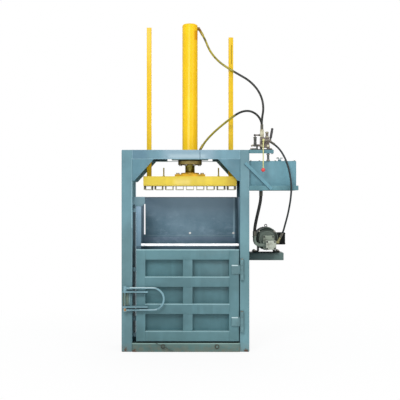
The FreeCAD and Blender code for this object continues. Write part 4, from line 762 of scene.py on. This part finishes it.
# The rod's yellow-olive is a painted reflection of the paint; its orange foot, a painted reflection of the
# seat.
chrome = steel("ground_chrome", (134, 125, 54), mark((240, 168, 40), 0.7, 0.008, Z=(1.76, 1.803)),
               rough=0.16, metal=0.85, grime=(76, 66, 24), dirty=0.6, brush=(1, 1, 0.2))
elbow_enamel = enamel("elbow_enamel", (134, 98, 40), wear=1.2, grime=(40, 32, 20), cloud=14.0)
dress("ram_cylinder", "cylinder_tube", press_yellow, "press_paint", edge=0.0025)
weld("ram_cap_weld", press_yellow, "press_paint", hoop(0.0782, 3.304), hoop(0.0785, 1.994), radius=0.0024)
dress("ram_gland", "cylinder_gland", shaded_gland_enamel, "press_paint")
heads = bolts("gland_hex_bolts", dull_steel, "bare_steel", [(x, y, 1.883) for x, y in circle(0.105, 8, 0.5)],
              (0, 0, -1), 0.026, 0.008, washer=0.015)
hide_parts("gland_bolts")
dress("chrome_rod", "piston_rod", chrome, "rod_chrome", "press")
dress("ram_piston", "piston", dull_steel, "bare_steel", "press", edge=0.001)
dress("ram_elbows", "cylinder_elbows", elbow_enamel, "press_paint", edge=0.001)

# ---- Oil tank ----
# A welded sheet tank on a tray bracketed off the column by a flat-bar brace. The lid is bolted down and
# carries a filler neck with a bright pressed breather cap that unscrews.
FLANK = 0.5945
tank_enamel = enamel("tank_enamel", (106, 150, 163), wear=0.6, cloud=1.5)
tray_enamel = enamel("tray_enamel", (100, 142, 151), wear=0.9)
# Dark paint for a painted shadow line under the brace.
brace_shadow_paint = enamel("brace_shadow_enamel", (44, 74, 88), wear=0.4, cloud=8.0)
dress("tank_box", "oil_tank", tank_enamel, "tank_paint", edge=0.004, segments=3)
dress("tank_cover", "tank_lid", tank_enamel, "tank_paint", edge=0.0012)
dress("tank_tray", "tank_shelf", tray_enamel, "frame_paint")
dress("valve_tray", "valve_shelf", tray_enamel, "frame_paint")
dress("tray_brace", "tank_brace", tank_enamel, "frame_paint", edge=0.001)
# A dark bead along the brace's lower edge: a painted shadow line.
weld("tray_brace_shadow_line", brace_shadow_paint, "frame_paint",
     [(0.543, -0.2855, 1.8765), (0.672, -0.2855, 1.7475), (0.802, -0.2855, 1.6175)], radius=0.0024)
weld("tank_welds", tank_enamel, "tank_paint", *[seam(x, -0.230, (1.666, 1.906)) for x in (0.599, 1.066)],
     seam((0.600, 1.066), -0.2305, 1.6645), seam(1.0665, (-0.229, 0.169), 1.6645), radius=0.0026)
weld("tray_welds", tray_enamel, "frame_paint", seam(FLANK, (FRONT, 0.186), 1.6185),
     seam(FLANK, (FRONT, -0.122), 2.0215), seam(FLANK, FRONT, (1.619, 1.663)),
     seam(FLANK, FRONT, (1.988, 2.021)), radius=0.003)
bolts("tank_cover_bolts", dull_steel, "tank_paint",
      [(x, y, 1.9132) for x in (0.612, 0.70, 0.86, 0.96, 1.053) for y in (-0.214, 0.154)]
      + [(x, y, 1.9132) for x in (0.612, 1.053) for y in (-0.09, 0.03)], UP, 0.013, 0.006, washer=0.010)


def turned(name, foot, direction, profile, segments=36, closed=False):
    """A round part as a lathe makes it, from radii given at distances along its axis. A closed profile
    makes a ring that is open in the middle."""
    aim = Vector(direction).to_track_quat("Z", "Y")
    shape = bmesh.new()
    foot = Vector(foot)
    rings = [[shape.verts.new(foot + aim @ Vector((x, y, along))) for x, y in circle(radius, segments)]
             for along, radius in profile]
    for low, high in zip(rings, rings[1:] + rings[:1] if closed else rings[1:]):
        for turn in range(segments):
            after = (turn + 1) % segments
            shape.faces.new((low[turn], low[after], high[after], high[turn]))
    for cap in () if closed else (rings[0], rings[-1]):
        shape.faces.new(cap)
    bmesh.ops.recalc_face_normals(shape, faces=shape.faces)
    for edge in shape.edges:
        edge.smooth = edge.calc_face_angle(0) < math.radians(32)
    return whole(name, shape)


def plastic(name, colour, rough=0.35):
    """Moulded plastic: a fine pebble grain, dulled and dusty in patches."""
    moulded = Finish(name, Metallic=0.0)
    pebble = moulded.noise(300.0, 2.0, 0.5)
    haze = moulded.between(moulded.noise(24.0, 4.0, 0.6), 0.42, 0.72)
    moulded.set(Base_Color=moulded.mix(haze * 0.35, tint(*colour), tint(*[c * 0.72 + 46 for c in colour])),
                Roughness=moulded.between(pebble, 0.3, 0.7, rough - 0.04, rough + 0.06) + haze * 0.12)
    moulded.bump(pebble, 0.18, 0.0006)
    return moulded.material


black_moulding = plastic("black_moulding", (30, 28, 30), rough=0.42)
cap_bright = steel("bright_pressed_cap", (232, 234, 232), rough=0.3, metal=0.55, grime=(150, 150, 142))
breather = turned("breather_mushroom", (0.916, -0.100, 1.9135), UP, (
    (0, 0.0118), (0.0275, 0.0118), (0.0278, 0.027), (0.029, 0.0312), (0.033, 0.032), (0.0355, 0.0314),
    (0.0365, 0.0306), (0.0375, 0.0314), (0.041, 0.0318), (0.0445, 0.0296), (0.0465, 0.024), (0.0474, 0.01)))
fit(breather, cap_bright, "bright_bar", "breather_cap", body="cap")
ribs = Pattern("grip_ribs", Count=28, Radius=0.0308, Tall=0.0085)
ribs.copy(ribs.prism(6, 0.0012, ribs.given["Tall"]), ribs.ring(1, ribs.given["Radius"])[0])
cap_ribs = ribs.grow("breather_grip_ribs", [(0, 0, 0)])
cap_ribs.data.transform(Matrix.Translation((0.916, -0.100, 1.9475)))
fit(cap_ribs, cap_bright, "bright_bar", body="cap")
pipe_steel = steel("return_pipe_steel", (98, 108, 106), rough=0.4, metal=0.6, dirty=0.6)
dress("return_tube", "return_pipe", pipe_steel, "bare_steel", edge=0.001)
for end, low in (("upper", 1.974), ("lower", 1.9135)):
    nut = turned(f"return_{end}_nut", (0.7865, -0.230, low), UP, (
        (0, 0.0155), (0.0015, 0.0175), (0.0105, 0.0175), (0.012, 0.0155)), segments=6)
    fit(nut, dull_steel, "bare_steel")

# ---- Hand valve ----
# A two-way lever valve on legs: rough cast block, plated unions for the two ram hoses on top, a relief
# cartridge at the left with its sealed screw, and a gauge stem and the pump's union at the right.


def slanted(degrees):
    """A direction square to the view, turned down from the right."""
    return Vector((math.cos(math.radians(degrees)), 0, -math.sin(math.radians(degrees))))


casting = steel("valve_casting", (118, 107, 99), rough=0.55, metal=0.3, grime=(56, 48, 44), dirty=0.75)
plated = steel("plated_union", (172, 168, 142), rough=0.38, metal=0.5, grime=(96, 88, 70), dirty=0.65)
dark_plate = steel("dark_base_plate", (74, 76, 72), rough=0.5, metal=0.4, grime=(40, 38, 34), dirty=0.6)
dress("valve_block", "valve_body", casting, "valve_casting", edge=0.0012)
fit(stock("valve_base_plate", ((0.6035, 0.8265), (-0.2705, -0.1895), (2.0221, 2.0308)), edge=0.0015),
    dark_plate, "valve_casting")
manifold = stock("union_manifold", ((0.7045, 0.7415), (-0.2605, -0.1995), (2.1486, 2.2135)))
fit(manifold, plated, "valve_casting")
MIDDLE = -0.230
SIDEWAYS = (1, 0, 0)
HEX = ((0, 0.0150), (0.0016, 0.0170), (0.0136, 0.0170), (0.0152, 0.0150))
SMALL_HEX = [(along, radius * 0.62) for along, radius in HEX]
END_CAP = ((0, 0.0145), (0.002, 0.0145), (0.003, 0.0118))
screw, slope = slanted(160), slanted(33)
for name, material, place, aim, profile, sides in (
        ("front_union_nut", plated, (0.723, -0.245, 2.2132), UP, HEX, 6),
        ("rear_union_nut", plated, (0.723, -0.215, 2.2132), UP, HEX, 6),
        ("relief_cap_nut", dark_plate, (0.655, MIDDLE, 2.139), UP, HEX, 6),
        ("relief_foot_nut", dark_plate, (0.655, MIDDLE, 2.0585), UP, HEX, 6),
        ("gauge_stem_nut", plated, (0.775, MIDDLE, 2.149), UP, HEX, 6),
        ("gauge_top_nut", plated, (0.775, MIDDLE, 2.190), UP, HEX, 6),
        ("relief_line_nut", dark_plate, (0.690, MIDDLE, 2.173), SIDEWAYS, SMALL_HEX, 6),
        ("relief_elbow_nut", dark_plate, (0.643, MIDDLE, 2.173), SIDEWAYS, SMALL_HEX, 6),
        ("relief_sleeve", dark_plate, (0.655, MIDDLE, 2.074), UP,
         ((0, 0.0142), (0.002, 0.0152), (0.024, 0.0152), (0.026, 0.0142), (0.045, 0.0142), (0.047, 0.0152),
          (0.062, 0.0152), (0.064, 0.0142)), 36),
        ("relief_lock_nut", plated, Vector((0.655, MIDDLE, 2.078)) + screw * 0.024, screw,
         ((0, 0.009), (0.001, 0.0105), (0.007, 0.0105), (0.008, 0.009)), 24),
        ("spool_end_cap", plated, (0.720, -0.2695, 2.061), AHEAD,
         (*END_CAP, (0.012, 0.0118), (0.0148, 0.0095)), 24),
        ("spool_end_cap_right", plated, (0.780, -0.2695, 2.061), AHEAD,
         (*END_CAP, (0.009, 0.0118), (0.0108, 0.0095)), 24),
        ("pressure_union_nut", plated, Vector((0.787, MIDDLE, 2.120)) + slope * 0.008, slope, HEX, 6)):
    fit(turned(name, place, aim, profile, segments=sides), material, "valve_casting")
LEG = (-0.246, -0.214)
feet = stock("valve_block_feet", ((0.628, 0.682), LEG, (2.031, 2.040)), ((0.666, 0.682), LEG, (2.031, 2.078)),
             ((0.792, 0.816), LEG, (2.031, 2.040)), ((0.786, 0.800), LEG, (2.031, 2.070)))
fit(feet, dark_plate, "valve_casting")
bolts("valve_base_bolts", dull_steel, "valve_casting",
      [(x, y, 2.0308) for x in (0.618, 0.812) for y in (-0.258, -0.202)], UP, 0.016, 0.008)

# ---- Hand lever ----
# A cross shaft in the valve's ears carries a long plated rod with a red ball that hangs in front of the
# tank, and a short black grip that points up.


def knob(name, centre, radius, aim):
    """A moulded ball with a small flat where it screws on."""
    turns = [math.pi * turn / 20 for turn in range(3, 20)]
    profile = [(radius * (1 - math.cos(turn)), radius * math.sin(turn)) for turn in turns]
    profile.append((radius * 1.998, radius * 0.03))
    return turned(name, Vector(centre) - Vector(aim) * radius, aim, profile)


DEPTH, HEIGHT = -0.318, 2.116
DOWN = (0, 0, -1)
tip = slanted(-80)
lever_plate = steel("yellow_passivated_rod", (206, 204, 140), rough=0.34, metal=0.5, grime=(140, 126, 70),
                    dirty=0.35)
red_moulding = plastic("red_moulding", (214, 62, 60), rough=0.26)
for name, place, aim, profile, material, slot, *solid in (
        ("lever_cross_shaft", (0.705, DEPTH, HEIGHT), SIDEWAYS,
         ((0, 0.0072), (0.0015, 0.0089), (0.1035, 0.0089), (0.105, 0.0072)),
         dull_steel, "bare_steel", "hand_lever"),
        ("lever_hub", (0.7185, DEPTH, HEIGHT), SIDEWAYS,
         ((0, 0.0115), (0.0015, 0.0128), (0.0205, 0.0128), (0.022, 0.0115)), lever_plate, "bare_steel"),
        ("lever_long_rod", (0.729, DEPTH, HEIGHT - 0.008), DOWN,
         ((0, 0.0059), (0.010, 0.0059), (0.0105, 0.0085), (0.019, 0.0085), (0.0195, 0.0059), (0.2610, 0.0059),
          (0.2612, 0.0074), (0.2672, 0.0074), (0.2675, 0.0059), (0.272, 0.0059)), lever_plate, "bare_steel"),
        ("lever_grip", (0.799, DEPTH, HEIGHT), tip,
         ((0, 0.0070), (0.018, 0.0075), (0.0185, 0.0112), (0.030, 0.0128), (0.055, 0.0120), (0.080, 0.0130),
          (0.096, 0.0120), (0.100, 0.0090)), black_moulding, "black_hose")):
    fit(turned(name, place, aim, profile), material, slot, *solid, body="lever")
fit(knob("grip_ball", (0.818, DEPTH, 2.224), 0.013, tip), black_moulding, "black_hose", body="lever")
fit(knob("red_lever_ball", (0.729, DEPTH, 1.820), 0.020, DOWN), red_moulding, "red_ball", "lever_ball",
    body="lever")

# ---- Motor shelf and motor ----
# A folded shelf off the column carries a foot-mounted motor: cast shell with cooling fins, bolted end
# shields, lifting eye, terminal box with a cable gland, and a pressed cowl with holes over the fan.
# Painted shadow of the motor on the shelf, bar its right end; along its top, painted shadow and grease.
shelf_enamel = enamel("shelf_enamel", (92, 112, 109), mark((28, 38, 42), 0.5, 0.06, X=(0.45, 0.86)),
                      mark((26, 36, 40), 0.6, 0.02, X=(0.45, 0.91), Z=(0.965, 1.01)),
                      wear=1.6, grime=(40, 46, 44), cloud=5.0)
motor_enamel = enamel("motor_enamel", (34, 41, 37), mark((20, 22, 22), 0.8, 0.006, X=(0.915, 1.0)),
                      mark((126, 138, 128), 0.5, 0.03, X=(0.715, 0.865), Y=(-0.10, -0.02), Z=(1.09, 1.20)),
                      rough=0.42, wear=1.6, grime=(24, 26, 24), cloud=11.0)
rim_enamel = enamel("shield_rim_enamel", (104, 116, 106), wear=2.4, grime=(48, 48, 40), cloud=14.0)
dress("motor_tray", "motor_shelf", shelf_enamel, "frame_paint", edge=0.003)
weld("motor_tray_welds", shelf_enamel, "frame_paint",
     [(FLANK, y, z) for y, z in ((-0.07, 0.903), (-0.07, 0.978), (0.150, 0.978), (0.150, 0.903))],
     radius=0.003)
dress("motor_casting", "motor_housing", motor_enamel, "machine_paint", edge=0.0008)
dress("fan_cover", "fan_cowl", motor_enamel, "machine_paint", edge=0.0015)
dress("motor_shaft_and_fan", "motor_rotor", dull_steel, "bare_steel", "rotor", edge=0.001)
fins = Pattern("cooling_fins", Count=30, Radius=0.109, Tall=0.0108, Long=0.214, Thick=0.003)
reach = fins.sum("ADD", fins.given["Radius"], fins.sum("MULTIPLY", fins.given["Tall"], 0.46))
places, angle = fins.ring(2, reach, 0.5)
size = fins.vector({0: fins.given["Tall"], 1: fins.given["Long"], 2: fins.given["Thick"]})
fins.copy(fins.node("GeometryNodeMeshCube", {"Size": size}), places,
          fins.vector({1: fins.sum("MULTIPLY", angle, -1.0)}))
between_fins = fins.grow("fins_between", [(0, 0, 0)])
MOTOR = (0.790, 1.122)
between_fins.data.transform(Matrix.Translation((MOTOR[0], 0.070, MOTOR[1])))
fit(between_fins, motor_enamel, "machine_paint")
for name, near, far, outer, inner, material in (
        ("shield_outer_rim", -0.0435, -0.036, 0.1165, 0.104, rim_enamel),
        ("shield_middle_rim", -0.0640, -0.055, 0.0995, 0.090, motor_enamel),
        ("shield_inner_rim", -0.0735, -0.066, 0.0800, 0.070, rim_enamel),
        ("cowl_seam_band", 0.181, 0.187, 0.1155, 0.112, motor_enamel)):
    rim = turned(name, (MOTOR[0], near, MOTOR[1]), (0, 1, 0), (
        (0, inner), (0, outer - 0.0015), (0.0015, outer), (far - near, outer), (far - near, inner)),
        segments=72, closed=True)
    fit(rim, material, "machine_paint")
bolts("shield_bolts", dull_steel, "machine_paint",
      [(MOTOR[0] + x, -0.0440, MOTOR[1] + z) for x, z in circle(0.107, 4, 0.5)], AHEAD, 0.012, 0.006)
bolts("motor_foot_bolts", dull_steel, "machine_paint",
      [(MOTOR[0] + x, y, 0.993) for x in (-0.121, 0.121) for y in (0.018, 0.122)], UP, 0.020, 0.010)
fit(stock("terminal_box_lid", ((0.979, 0.9835), (-0.008, 0.088), (1.062, 1.182)), edge=0.002), motor_enamel,
    "machine_paint")
bolts("terminal_lid_screws", dull_steel, "machine_paint",
      [(0.9836, y, z) for y in (0.0, 0.080) for z in (1.071, 1.173)], SIDEWAYS, 0.008, 0.003)
fit(turned("cable_gland", (0.935, 0.0875, 1.110), (0, 1, 0), (
    (0, 0.015), (0.004, 0.015), (0.0045, 0.0125), (0.016, 0.0125), (0.0165, 0.014), (0.026, 0.0125),
    (0.030, 0.008))), black_moulding, "black_hose")

# ---- Gear pump ----
# An aluminium gear pump in three sections clamped by four long bolts to a bell plate on the motor, with
# a brass outlet union at the right for the pressure hose.
aluminium = steel("pump_aluminium", (172, 178, 165), rough=0.46, metal=0.35, grime=(84, 84, 70), dirty=0.65)
bell_steel = steel("bell_plate_steel", (140, 150, 136), rough=0.5, metal=0.3, grime=(58, 60, 50), dirty=0.8)
brass = steel("brass_union", (128, 124, 88), rough=0.40, metal=0.6, grime=(56, 54, 36), dirty=0.7)
# The suction bend's enamel, with painted shade down the bend's left side.
elbow_paint = enamel("suction_elbow_enamel", (112, 124, 114), mark((26, 30, 28), 0.7, 0.008, X=(0.62, 0.652)),
                     rough=0.42, wear=2.0, grime=(52, 52, 44), cloud=14.0)
fit(stock("pump_bell_plate", ((0.747, 0.863), (-0.088, -0.070), (1.017, 1.157)), edge=0.010, segments=4),
    bell_steel, "pump_casting")
sections = stock("pump_sections", ((0.767, 0.873), (-0.186, -0.158), (1.016, 1.108)),
                 ((0.7695, 0.8705), (-0.159, -0.116), (1.0185, 1.1055)),
                 ((0.767, 0.873), (-0.117, -0.087), (1.016, 1.108)), edge=0.009, segments=4)
fit(sections, aluminium, "pump_casting", "gear_pump")
boss = turned("pump_cover_boss", (0.820, -0.1855, 1.062), AHEAD, (
    (0, 0.031), (0.002, 0.031), (0.0035, 0.029), (0.0036, 0.018), (0.0022, 0.016)))
fit(boss, aluminium, "pump_casting")
bolts("pump_bolts", dark_plate, "pump_casting",
      [(0.820 + x * 0.106 * 0.37, -0.186, 1.062 + z * 0.092 * 0.37) for x in (-1, 1) for z in (-1, 1)],
      AHEAD, 0.015, 0.007, washer=0.010)
bolts("bell_plate_bolts", dark_plate, "pump_casting", [(x, -0.088, 1.143) for x in (0.760, 0.850)], AHEAD,
      0.013, 0.006)
fit(stock("outlet_elbow_block", ((0.872, 0.908), (-0.150, -0.124), (1.077, 1.103)), edge=0.004), brass,
    "pump_casting")
fit(turned("outlet_union", (0.895, -0.137, 1.095), slanted(-62), (
    (0, 0.0108), (0.010, 0.0108), (0.0105, 0.0135), (0.022, 0.0135), (0.0225, 0.0112), (0.050, 0.0112))),
    brass, "pump_casting")
dress("suction_bend", "suction_elbow", elbow_paint, "machine_paint", edge=0.001)

# ---- Hoses ----
# Wire-braided rubber hoses pushed on their unions under crimped ferrules. The two ram hoses caught the
# press's yellow spray on their left half; the grey pressure hose hangs in front of the tank.


def rubber(name, colour, over=None, start=0.0):
    """Hose cover: a faint wrapped pattern, dust on it, and overspray left of a place along X."""
    cover = Finish(name, Metallic=0.0, Specular_IOR_Level=0.12, Coat_Weight=0.22, Coat_Roughness=0.16)
    wrap = cover.noise(150.0, 2.0, 0.5, stretch=(1, 1, 1.6), turn=(0, 0.7, 0))
    dusty = cover.between(cover.noise(16.0, 4.0, 0.6), 0.42, 0.70)
    shade = cover.mix(dusty * 0.2, tint(*colour), tint(*[c * 0.7 + 40 for c in colour]))
    if over:
        patchy = cover.along("X") + (cover.noise(26.0, 4.0, 0.6) - 0.5) * 0.09
        sprayed = cover.between(patchy, start - 0.02, start + 0.02, 0.86, 0.0)
        sprayed = sprayed * cover.between(cover.noise(22.0, 4.0, 0.6), 0.36, 0.52, 0.45, 1.0)
        missed = cover.within({"X": (0.125, 0.162), "Z": (3.05, 3.20)}, 0.008) * 0.7
        shade = cover.mix(sprayed * (1.0 - missed), shade, tint(*over))
    cover.set(Base_Color=shade, Roughness=cover.between(wrap, 0.3, 0.7, 0.36, 0.50) + dusty * 0.15)
    cover.bump(wrap, 0.3, 0.0008)
    return cover.material


def hose(name, diameter, length, material, slot, *route):
    """A hose led by its route's points, in metres, with a crimped ferrule over each end."""
    piece = fit(strand(name, diameter, 5, 24, route), material, slot, name)
    grip = diameter / 2 + 0.0016
    crest = grip + 0.0012
    crimps = [(0, grip), (0.002, crest)]
    for turn in range(4):
        crimps += [(0.006 + turn * 0.009, crest), (0.0085 + turn * 0.009, grip - 0.0002),
                   (0.0105 + turn * 0.009, crest)]
    crimps += [(0.046, crest), (0.048, grip - 0.0008)]
    for label, mouth, after in (("first", route[0], route[1]), ("last", route[-1], route[-2])):
        ferrule = turned(f"{name}_{label}_ferrule", mouth, Vector(after) - Vector(mouth), crimps, segments=24)
        fit(ferrule, ferrule_steel, "bare_steel")


ferrule_steel = steel("crimped_ferrule", (90, 88, 78), mark((168, 152, 50), 0.8, 0.02, X=(0.05, 0.30)),
                      rough=0.4, metal=0.5, grime=(54, 50, 38), dirty=0.6)
oversprayed = rubber("oversprayed_hose", (34, 36, 33), over=(166, 154, 46), start=0.44)
grey_cover = rubber("grey_hose_cover", (38, 44, 46))
black_cover = rubber("black_hose_cover", (26, 26, 25))
hose("top_hose", 0.022, 1.311, oversprayed, "black_hose",
     (0.1115, 0, 3.2606), (0.1565, 0, 3.1826), (0.198, -0.012, 3.068), (0.280, -0.028, 2.960),
     (0.385, -0.052, 2.878), (0.500, -0.085, 2.806), (0.602, -0.122, 2.740), (0.682, -0.160, 2.650),
     (0.730, -0.195, 2.545), (0.742, -0.220, 2.435), (0.723, -0.215, 2.332), (0.723, -0.215, 2.232))
hose("lower_hose", 0.022, 0.920, oversprayed, "black_hose",
     (0.723, -0.245, 2.232), (0.723, -0.245, 2.287), (0.700, -0.251, 2.344), (0.659, -0.246, 2.389),
     (0.607, -0.232, 2.415), (0.549, -0.212, 2.419), (0.487, -0.184, 2.399), (0.415, -0.146, 2.351),
     (0.338, -0.102, 2.293), (0.259, -0.054, 2.229), (0.192, -0.017, 2.163), (0.1425, 0, 2.1041),
     (0.1115, 0, 2.0504))
hose("pressure_hose", 0.019, 1.083, grey_cover, "grey_hose",
     (0.8122, -0.230, 2.1037), (0.8625, -0.230, 2.0710), (0.914, -0.247, 2.013), (0.957, -0.270, 1.930),
     (0.985, -0.292, 1.840), (1.002, -0.309, 1.745), (1.010, -0.318, 1.650), (1.006, -0.310, 1.557),
     (0.996, -0.286, 1.468), (0.984, -0.249, 1.384), (0.971, -0.205, 1.312), (0.959, -0.166, 1.252),
     (0.9476, -0.137, 1.1939), (0.9204, -0.137, 1.1427))
hose("suction_hose", 0.032, 0.463, black_cover, "black_hose",
     (0.722, -0.140, 1.610), (0.722, -0.140, 1.542), (0.707, -0.140, 1.458), (0.681, -0.139, 1.349),
     (0.662, -0.138, 1.256), (0.657, -0.137, 1.203), (0.657, -0.137, 1.153))
